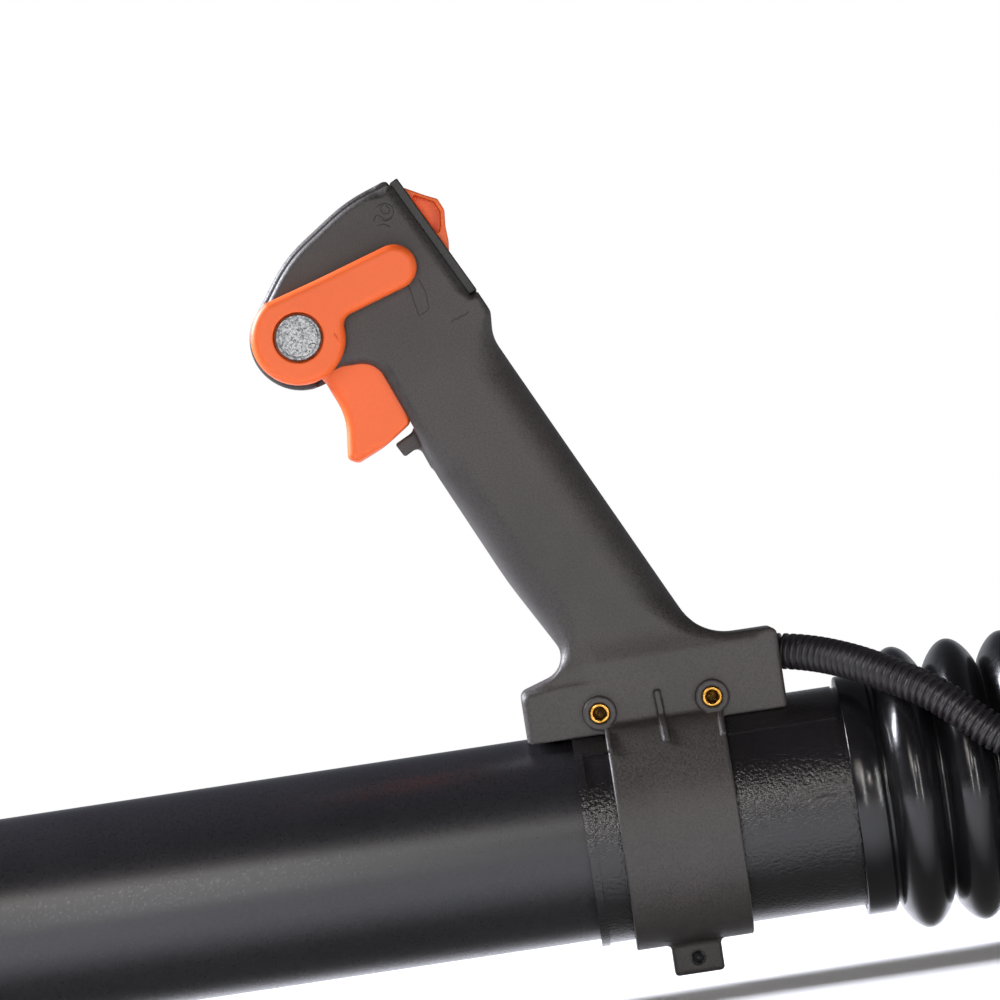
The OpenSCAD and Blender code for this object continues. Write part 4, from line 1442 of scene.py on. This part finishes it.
                d = cut(d, bar(p, post_x, post_z, 3.8, self.grip_half - 3.6, 30), 0.5)
                d = cut(d, bar(p, post_x, post_z, 2.1, -1, 30))
        d = cut(d, bar(p, self.band_mid, -self.band_r - 5.5, 2.4, -1, 30), 0.3)
        s = self.switch.local(p)
        d = cut(d, box(s, (-26, -9.6, -8.2), (5, 9.6, 25.6)))
        d = cut(d, box(s, (-3.15, -11.2, -22.4), (5, 11.2, 30)), 0.3)
        d = cut(d, box(p, (-103.6, -1, 154.6), (-62, 12.8, 190), 0.6), 0.8)
        sweep = np.hypot(x - self.pivot.x, z - self.pivot.z) - 15.4
        angle = np.degrees(np.arctan2(z - self.pivot.z, x - self.pivot.x))
        open_side = (angle > -130) & (angle < 62)
        wedge = np.where(open_side, rounded_pair(sweep, y - 12.8, 0), np.maximum(2.0, y - 12.8))
        return cut(d, wedge)

    def build(self, finishes: Finishes) -> None:
        """Makes both halves and the fine lines moulded on the left face, the lines as dark strips of painted shade.

        Args:
            finishes: The part's materials.
        """
        for side, node in ((Side.LEFT, "left_shell"), (Side.RIGHT, "right_shell")):
            low = (-128.0, -46.0 if side is Side.LEFT else -2.4, -57.0)
            high = (52.0, 2.4 if side is Side.LEFT else 46.0, 248.0)
            shell = make_object(node + "_moulded", *skinned(self.half(side), low, high, self.cell))
            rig.ride(dress(shell, finishes.handle, Slot.HANDLE), Body.HANDLE.value)
            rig.replaces(shell, node)
            report(shell)
        self.build_lines(finishes)

    def build_lines(self, finishes: Finishes) -> None:
        """Lays the fine moulded lines into the head's left face as thin dark strips, painted shade for their shaded
        bottoms.

        Args:
            finishes: The part's materials.
        """
        wedge = [
            (-65.0, 205.4), (-64.0, 199.6), (-62.9, 193.6), (-59.6, 195.0), (-59.0, 196.2), (-59.2, 201.2),
            (-60.8, 206.1),
        ]
        stroke = [
            (-51.9, 189.6), (-50.0, 190.8), (-49.6, 190.2), (-47.6, 191.6), (-47.3, 191.0), (-45.0, 192.4),
        ]
        ring = [(-69.6 + 3.4 * math.cos(t), 232.2 + 3.0 * math.sin(t)) for t in np.linspace(2.4, -1.9, 14)]
        leaf = [
            (-69.6, 235.0), (-70.9, 233.6), (-70.2, 231.8), (-68.2, 231.2), (-67.6, 233.0), (-68.8, 234.6),
        ]
        stem = [(-74.0, 229.4), (-72.6, 231.6), (-70.8, 230.6), (-69.6, 228.8), (-67.4, 229.6)]
        foot = [(-72.4, 227.6), (-70.6, 228.0), (-68.2, 226.6)]
        parts = []
        for line in (wedge, stroke, ring, leaf, stem, foot):
            places = straight_line(np.array([(x, -self.grip_half + 0.08, z) for x, z in line]), 0.6)
            parts.append(swept(places, np.full(len(places), 0.19), 8))
        # Thin dark strips on the face: painted shade where the bottom of each moulded line lies in shadow
        lines = make_object("moulded_lines", *joined_grids(parts))
        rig.ride(dress(lines, finishes.groove_shade, Slot.HANDLE), Body.HANDLE.value)
        report(lines)


@dataclass
class CruiseLever:
    """The orange lever beside the head: a ring on the pivot, and an arm with a round tip.

    Attributes:
        turn: Angle of the arm at rest.
        length: Distance from the pivot to the middle of the tip.
        half: Half the width of the arm.
        lift: Height of the arm's middle above the pivot.
        ring_r: Radius of the ring.
        thick: Thickness.
        inner_y: Y of the face beside the head.
        recess_r: Radius of the recess for the bolt's head.
    """

    turn: float = 17.6
    length: float = 41.8
    half: float = 8.1
    lift: float = 7.6
    ring_r: float = 17.0
    thick: float = 7.2
    inner_y: float = -17.55
    recess_r: float = 9.0
    pivot: Pivot = field(default_factory=Pivot)

    def build(self, finishes: Finishes) -> None:
        """Makes the lever with its hub.

        Args:
            finishes: The part's materials.
        """
        path = arc(self.length, self.lift, self.half, 90, -90, 24)
        path += [Corner(17.4, self.lift - self.half, 7)]
        path += arc(0, 0, self.ring_r, -24, -252, 38) + [Corner(14, self.lift + self.half)]
        outline = Outline(path, 0.25, 8.0)
        c, s = math.cos(math.radians(self.turn)), math.sin(math.radians(self.turn))
        px, pz = self.pivot.x, self.pivot.z
        outer_y = self.inner_y - self.thick
        middle_y = self.inner_y - self.thick / 2

        def solid(x: Array, y: Array, z: Array) -> Array:
            """Distance to the lever."""
            u, v = c * (x - px) + s * (z - pz), c * (z - pz) - s * (x - px)
            edge = np.where(y < middle_y, 3.0, 0.5)
            d = rounded_pair(outline.distance(u, v), np.abs(y - middle_y) - self.thick / 2, edge)
            d = joined(d, bar((x, y, z), px, pz, 7, self.inner_y - 1, -9.3))
            d = cut(d, bar((x, y, z), px, pz, self.recess_r, outer_y - 3, outer_y + 3.6), 0.5)
            return cut(d, bar((x, y, z), px, pz, self.pivot.sleeve_r + 0.06, -40, 0))

        mesh = skinned(solid, (-126, -26, 172), (-58, -8.4, 223), 0.4)
        lever = make_object("cruise_lever_moulded", *mesh)
        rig.ride(dress(lever, finishes.orange, Slot.ORANGE), Body.LEVER.value)
        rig.replaces(lever, "cruise_lever")
        report(lever)
        self.build_flash(finishes, outer_y)

    def build_flash(self, finishes: Finishes, outer_y: float) -> None:
        """Adds the torn scrap of flash by the ring.

        Args:
            finishes: The part's materials.
            outer_y: Y of the lever's outer face.
        """
        places = [(-93.6, outer_y + 0.15, 192.0), (-93.1, outer_y, 190.0), (-92.2, outer_y + 0.1, 188.4)]
        scrap = smooth_line(np.array(places), 0.3)
        radii = 0.42 * np.sin(np.linspace(0.4, 2.8, len(scrap)))
        flash = make_object("lever_flash", *swept(scrap, radii, 8))
        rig.ride(dress(flash, finishes.orange, Slot.ORANGE), Body.LEVER.value)
        report(flash)


@dataclass
class Trigger:
    """The throttle trigger: a hollowed finger face and two cheeks with the cable's arm between them.

    Attributes:
        half: Half the width.
        arm_length: Distance from the pivot to the cable's nipple.
        arm_turn: Angle of the arm at rest.
        nipple_r: Radius of the cable's nipple.
    """

    half: float = 12.3
    arm_length: float = 24.0
    arm_turn: float = 15.0
    nipple_r: float = 2.4
    pivot: Pivot = field(default_factory=Pivot)

    def build(self, finishes: Finishes) -> None:
        """Makes the trigger.

        Args:
            finishes: The part's materials.
        """
        finger = Outline(
            corners(
                (-104, 181, 0), (-99.4, 174.6, 2), (-94.2, 162, 22), (-95.9, 146.6, 2.2), (-92.4, 144.9, 2.4),
                (-82.5, 149.2, 40), (-71.9, 156.4, 2.5), (-72.6, 166, 14), (-80, 180, 8), (-86, 190, 4),
                (-98, 197, 0),
            ),
            0.3, 8.0,
        )
        arm = Outline(
            corners((0, 6, 0), (24, 5.2, 0), (29, 3, 1), (29, -3, 1), (24, -5.2, 0), (0, -8, 0)), 0.3, 8.0
        )
        px, pz = self.pivot.x, self.pivot.z
        c, s = math.cos(math.radians(self.arm_turn)), math.sin(math.radians(self.arm_turn))

        def solid(x: Array, y: Array, z: Array) -> Array:
            """Distance to the trigger."""
            p = (x, y, z)
            u, v = c * (x - px) + s * (z - pz), c * (z - pz) - s * (x - px)
            q = (u, y, v)
            edge = 1.0 + 2.4 * smoothstep(-80, -92, x + 0.2 * (z - 160))
            d = rounded_pair(finger.distance(x, z), np.abs(y) - self.half, edge)
            d = joined(d, bar(p, px, pz, 9.6, -8.9, 9.2))
            d = joined(d, rounded_pair(arm.distance(u, v), np.abs(y) - 5.2, 0.4))
            d = cut(d, bar(p, px, pz, 13.4, 2, 40))
            d = cut(d, bar(p, px, pz, 11.9, -40, -8.9))
            reach = np.hypot(x - px, z - pz)
            angle = np.degrees(np.arctan2(z - pz, x - px))
            behind = (angle > -62) & (angle < 1)
            slot = np.where(behind, np.maximum(12 - reach, np.abs(y) - 5.6), 2.0)
            d = cut(d, slot)
            d = cut(d, box(q, (self.arm_length - 3.1, -1.4, -14), (self.arm_length + 3.1, 1.4, 0)))
            d = cut(d, bar(q, self.arm_length, 0, self.nipple_r + 0.7, -3.4, 3.4))
            d = cut(d, box(q, (self.arm_length - 0.4, -3.4, -3.1), (self.arm_length + 8, 3.4, 3.1)))
            d = joined(d, bar(p, px, pz, 7.4, 1.9, 9.2))
            return cut(d, bar(p, px, pz, self.pivot.sleeve_r + 0.06, -40, 40))

        mesh = skinned(solid, (-118, -14, 143), (-69, 14, 204), 0.5)
        trigger = make_object("trigger_moulded", *mesh)
        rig.ride(dress(trigger, finishes.orange, Slot.ORANGE), Body.TRIGGER.value)
        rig.replaces(trigger, "trigger")
        report(trigger)


@dataclass
class StopSwitch:
    """The orange stop rocker and its black bezel on the head's rear face.

    Attributes:
        half: Half the width of the rocker.
        pin_x: Pin's place outwards from the face.
        pin_z: Pin's place along the face.
    """

    half: float = 7.0
    pin_x: float = -2.2
    pin_z: float = 9.0
    place: SwitchPlace = field(default_factory=SwitchPlace)

    def build(self, finishes: Finishes) -> None:
        """Makes the rocker and the bezel.

        Args:
            finishes: The part's materials.
        """
        body = Outline(
            corners(
                (0.3, 23.2, 0.6), (5.1, 16.3, 3), (8, 12.6, 1.4), (7.7, 8, 2), (4.9, 3.6, 3), (2.6, -1.6, 3),
                (0.3, -5.2, 0.5), (-2.6, -2.6, 1), (-4.4, 9, 5), (-2.6, 21, 1),
            ),
            0.2, 5.0,
        )
        pocket = Outline(
            corners((0.6, 20.6, 1), (6.4, 12.6, 0.8), (6.1, 8.4, 1.2), (3.4, 4.2, 1.5), (0.6, 1.4, 1)),
            0.2, 5.0,
        )

        def rocker(x: Array, y: Array, z: Array) -> Array:
            """Distance to the rocker on the switch's axes."""
            d = rounded_pair(body.distance(x, z), np.abs(y) - self.half, 0.7)
            d = cut(d, rounded_pair(pocket.distance(x, z), self.half - 4.2 - np.abs(y), 0.4), 0.3)
            d = joined(d, box((x, y, z), (-7.5, -1.5, 7), (-2.2, 1.5, 11), 0.3))
            return cut(d, bar((x, y, z), self.pin_x, self.pin_z, 1.56, -20, 20))

        def bezel(x: Array, y: Array, z: Array) -> Array:
            """Distance to the bezel on the switch's axes."""
            p = (x, y, z)
            d = box(p, (-3.1, -11, -22.3), (0.4, 11, 27), 0.5)
            d = cut(d, box(p, (-10, -7.4, -6), (5, 7.4, 23.8)), 0.4)
            return cut(d, bar(p, self.pin_x, self.pin_z, 1.5, -10.4, 10.4))

        for name, solid, low, high, material, slot, rides_on in (
            (
                "switch_rocker", rocker, (-9, -8.4, -7), (10, 8.4, 25),
                finishes.orange, Slot.ORANGE, Body.ROCKER,
            ),
            (
                "switch_bezel", bezel, (-4.5, -12.4, -24), (2, 12.4, 29),
                finishes.black, Slot.BLACK, Body.HANDLE,
            ),
        ):
            points, faces = skinned(solid, low, high, 0.3)
            piece = make_object(name + "_moulded", self.place.world(points), faces)
            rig.ride(dress(piece, material, slot), rides_on.value)
            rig.replaces(piece, name)
            report(piece)


@dataclass
class Hardware:
    """The pivot bolt, the threaded inserts, the clamp's cap screws and the tube's pointer.

    Attributes:
        pivot: Axis of the bolt.
        head_r: Radius of a cap screw's head.
        head_h: Height of a cap screw's head.
        flange_x: X of the screw through the band's flange.
        flange_z: Height of that screw.
        insert_z: Height of the inserts.
        insert_x: Distance of each insert from the middle.
        insert_y: Y of the inserts' outer faces.
    """

    pivot: Pivot = field(default_factory=Pivot)
    head_r: float = 4.3
    head_h: float = 5.0
    flange_x: float = 1.75
    flange_z: float = -49.0
    insert_z: float = 43.6
    insert_x: float = 20.3
    insert_y: float = -21.1

    def build(self, finishes: Finishes) -> None:
        """Makes the pivot bolt, the two inserts, the clamp's cap screws and the tube's pointer.

        Args:
            finishes: The part's materials.
        """
        # Radius and Y: extra rings keep the head's flat face evenly shaded inside its raised rim
        bolt = np.array([
            (0.01, -24.15), (0.2, -24.15), (3.4, -24.15), (6.5, -24.15), (6.8, -24.16), (7.2, -24.3),
            (7.8, -24.45), (8.2, -24.25), (8.3, -23.9), (8.3, -22.0), (3.0, -22.0), (3.0, 12.3),
            (2.5, 12.4), (2.5, 16.5), (2.1, 16.9), (0.01, 16.9),
        ])
        mesh = turned(bolt[::-1], along_y(self.pivot.x, self.pivot.z), 96)
        piece = make_object("pivot_bolt_turned", *mesh)
        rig.ride(dress(piece, finishes.spangle, Slot.ZINC), Body.HANDLE.value)
        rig.replaces(piece, "pivot_bolt")
        report(piece)
        y = self.insert_y
        outside = [(3.6, y + 0.35), (3.6, y + 9.8), (2.3, y + 9.8)]
        threads = [(2.15 + 0.3 * (k % 2), y + 0.9 + 0.4 * k) for k in range(22)]
        mouth = [(2.3, y + 0.4), (2.55, y), (3.0, y), (3.4, y)]
        ring = np.array(outside + threads[::-1] + mouth)
        meshes = [turned(ring, along_y(x, self.insert_z), 64) for x in (-self.insert_x, self.insert_x)]
        piece = make_object("threaded_inserts_turned", *joined_grids(meshes))
        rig.ride(dress(piece, finishes.brass, Slot.BRASS), Body.HANDLE.value)
        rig.replaces(piece, "threaded_inserts")
        report(piece)
        self.build_screws(finishes)
        self.build_tube_mark(finishes)

    def build_tube_mark(self, finishes: Finishes) -> None:
        """Adds the small moulded pointer on the control tube's side.

        Args:
            finishes: The part's materials.
        """
        tube_r = 39.45
        parts = []
        for line in (((50.9, 3.0), (54.4, 3.3), (58.2, 3.4)), ((53.1, 4.6), (54.6, 3.4), (55.6, 4.4))):
            places = straight_line(np.array([(x, -math.sqrt(tube_r**2 - z**2), z) for x, z in line]), 0.5)
            parts.append(swept(places, np.full(len(places), 0.32), 8))
        piece = make_object("tube_pointer", *joined_grids(parts))
        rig.ride(dress(piece, finishes.control, Slot.TUBE), Body.HANDLE.value)
        report(piece)

    def build_screws(self, finishes: Finishes) -> None:
        """Makes the cap screws, with knurled heads, hexagon sockets and pointed tips.

        Args:
            finishes: The part's materials.
        """
        seat, tip = 16.2, -15.5
        places = [(-self.insert_x, self.insert_z, seat, tip), (self.insert_x, self.insert_z, seat, tip)]
        places.append((self.flange_x, self.flange_z, 7.0, -6.6))
        parts = []
        for x0, z0, seat_y, tip_y in places:

            def screw(x: Array, y: Array, z: Array) -> Array:
                """Distance to one screw."""
                p = (x, y, z)
                turn = np.arctan2(z - z0, x - x0)
                top_y = seat_y + self.head_h
                fade = smoothstep(0.2, 1.0, y - seat_y) * smoothstep(0.2, 1.2, top_y - y)
                knurl = 0.1 * np.cos(36 * turn) * fade
                d = bar(p, x0, z0, self.head_r - 0.1, seat_y, top_y, 0.5) - knurl
                thirds = (0.0, math.pi / 3, 2 * math.pi / 3)
                flats = [np.abs((x - x0) * math.cos(t) + (z - z0) * math.sin(t)) for t in thirds]
                socket = np.maximum(np.maximum(np.maximum(*flats[:2]), flats[2]) - 2.0, top_y - 2.6 - y)
                d = cut(d, socket, 0.3)
                d = joined(d, bar(p, x0, z0, 2.1, tip_y, seat_y + 0.5))
                reach = np.hypot(x - x0, z - z0)
                return np.maximum(d, (reach - (y - tip_y) * 0.9) * 0.74)

            low, high = (x0 - 5, tip_y - 1, z0 - 5), (x0 + 5, seat_y + self.head_h + 1, z0 + 5)
            parts.append(skinned(screw, low, high, 0.28))
        piece = make_object("clamp_screws_formed", *joined_grids(parts))
        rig.ride(dress(piece, finishes.zinc, Slot.ZINC), Body.HANDLE.value)
        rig.replaces(piece, "clamp_screws")
        report(piece)


# ---------------------------------------------------------------- tubes and hose


@dataclass
class BellowsHose:
    """The bellows hose between the handle and the fan.

    Attributes:
        start: X of its front end.
        first_valley: X of the first valley.
        pitch: Distance from crest to crest.
        count: Number of convolutions.
        valley_r: Radius in the valleys.
        crest_r: Radius over the crests.
        wall: Thickness of the wall.
    """

    start: float = 64.6
    first_valley: float = 76.5
    pitch: float = 20.0
    count: int = 8
    valley_r: float = 39.9
    crest_r: float = 51.0
    wall: float = 1.6

    def build(self, finishes: Finishes) -> None:
        """Makes the hose, which bends between the handle and the cuff.

        Args:
            finishes: The part's materials.
        """
        steps = 20
        t = np.arange(self.count * steps + 1) / steps
        wave = np.abs(np.sin(math.pi * t)) ** 0.75
        x = self.first_valley + self.pitch * t
        end = x[-1]
        height = self.crest_r - self.valley_r
        outer = np.stack([self.valley_r + height * wave, x], 1)
        inner = np.stack([self.valley_r - self.wall + (height - 0.4) * wave, x], 1)
        profile = np.vstack([
            [(39.6, self.start), (42.9, self.start), (43.3, self.start + 0.5)],
            [(43.3, self.first_valley - 2.2), (42.8, self.first_valley - 1.5)],
            outer,
            [(42.8, end + 2), (43.4, end + 2.7), (43.4, CUFF_X - 0.6), (42.8, CUFF_X)],
            [(40.4, CUFF_X), (40.0, CUFF_X - 0.5), (40.0, CUFF_X - 35), (self.valley_r - self.wall, end + 2)],
            inner[::-1],
            [(39.6, self.first_valley - 1.2)],
        ])
        hose = make_object("bellows_hose_moulded", *turned(profile, along_x, 144))
        dress(hose, finishes.hose, Slot.HOSE)
        start = at(self.first_valley, 0, 0)
        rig.blend(hose, Body.HANDLE.value, Body.HOSE_END.value, start=start, end=at(end, 0, 0))
        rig.replaces(hose, "bellows_hose")
        report(hose)


def dress_kept_nodes(finishes: Finishes) -> None:
    """Gives the nodes that keep their CAD form a material and a slot.

    Args:
        finishes: The part's materials.
    """
    kept = (
        (Slot.TUBE, finishes.tube, ("blow_tube", "nozzle_tube")),
        (Slot.TUBE, finishes.control, ("control_tube",)),
        (Slot.ZINC, finishes.zinc, (
            "shell_screws", "friction_washer", "pivot_sleeve", "pivot_nut", "trigger_spring",
            "switch_pin", "throttle_wire", "adjuster_nut", "hose_clamp_band", "hose_clamp_housing",
            "hose_clamp_screw", "tail_ferrule", "tail_wire",
        )),
        (Slot.BRASS, finishes.brass, ("switch_terminals", "cable_adjuster", "lead_connectors")),
        (Slot.BLACK, finishes.black, (
            "throttle_cam", "switch_body", "conduit_gland", "conduit_clip", "conduit_boot",
        )),
        (Slot.JACKET, finishes.jacket, ("throttle_casing", "switch_leads", "tail_casing", "tail_leads")),
        (Slot.SEAL, finishes.seal, ("tube_seal",)),
    )
    for slot, material, names in kept:
        for name in names:
            report(dress(frame["nodes"][name], material, slot))


def main() -> None:
    """Builds the camera and the cord first, then every sub-assembly, and writes the sizes."""
    logging.basicConfig(level=logging.INFO, format="%(message)s")
    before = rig.bounds()
    studio = Studio()
    studio.build_camera()
    finishes = Finishes()
    CableConduit().build(finishes)
    BellowsHose().build(finishes)
    dress_kept_nodes(finishes)
    HandleShells().build(finishes)
    CruiseLever().build(finishes)
    Trigger().build(finishes)
    StopSwitch().build(finishes)
    Hardware().build(finishes)
    studio.build()
    sizes = {"cad": [list(v) for v in before], "visual": [list(v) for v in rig.bounds()]}
    with open("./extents.json", "w", encoding="utf-8") as out:
        json.dump(sizes, out)


if __name__ == "__main__":
    main()
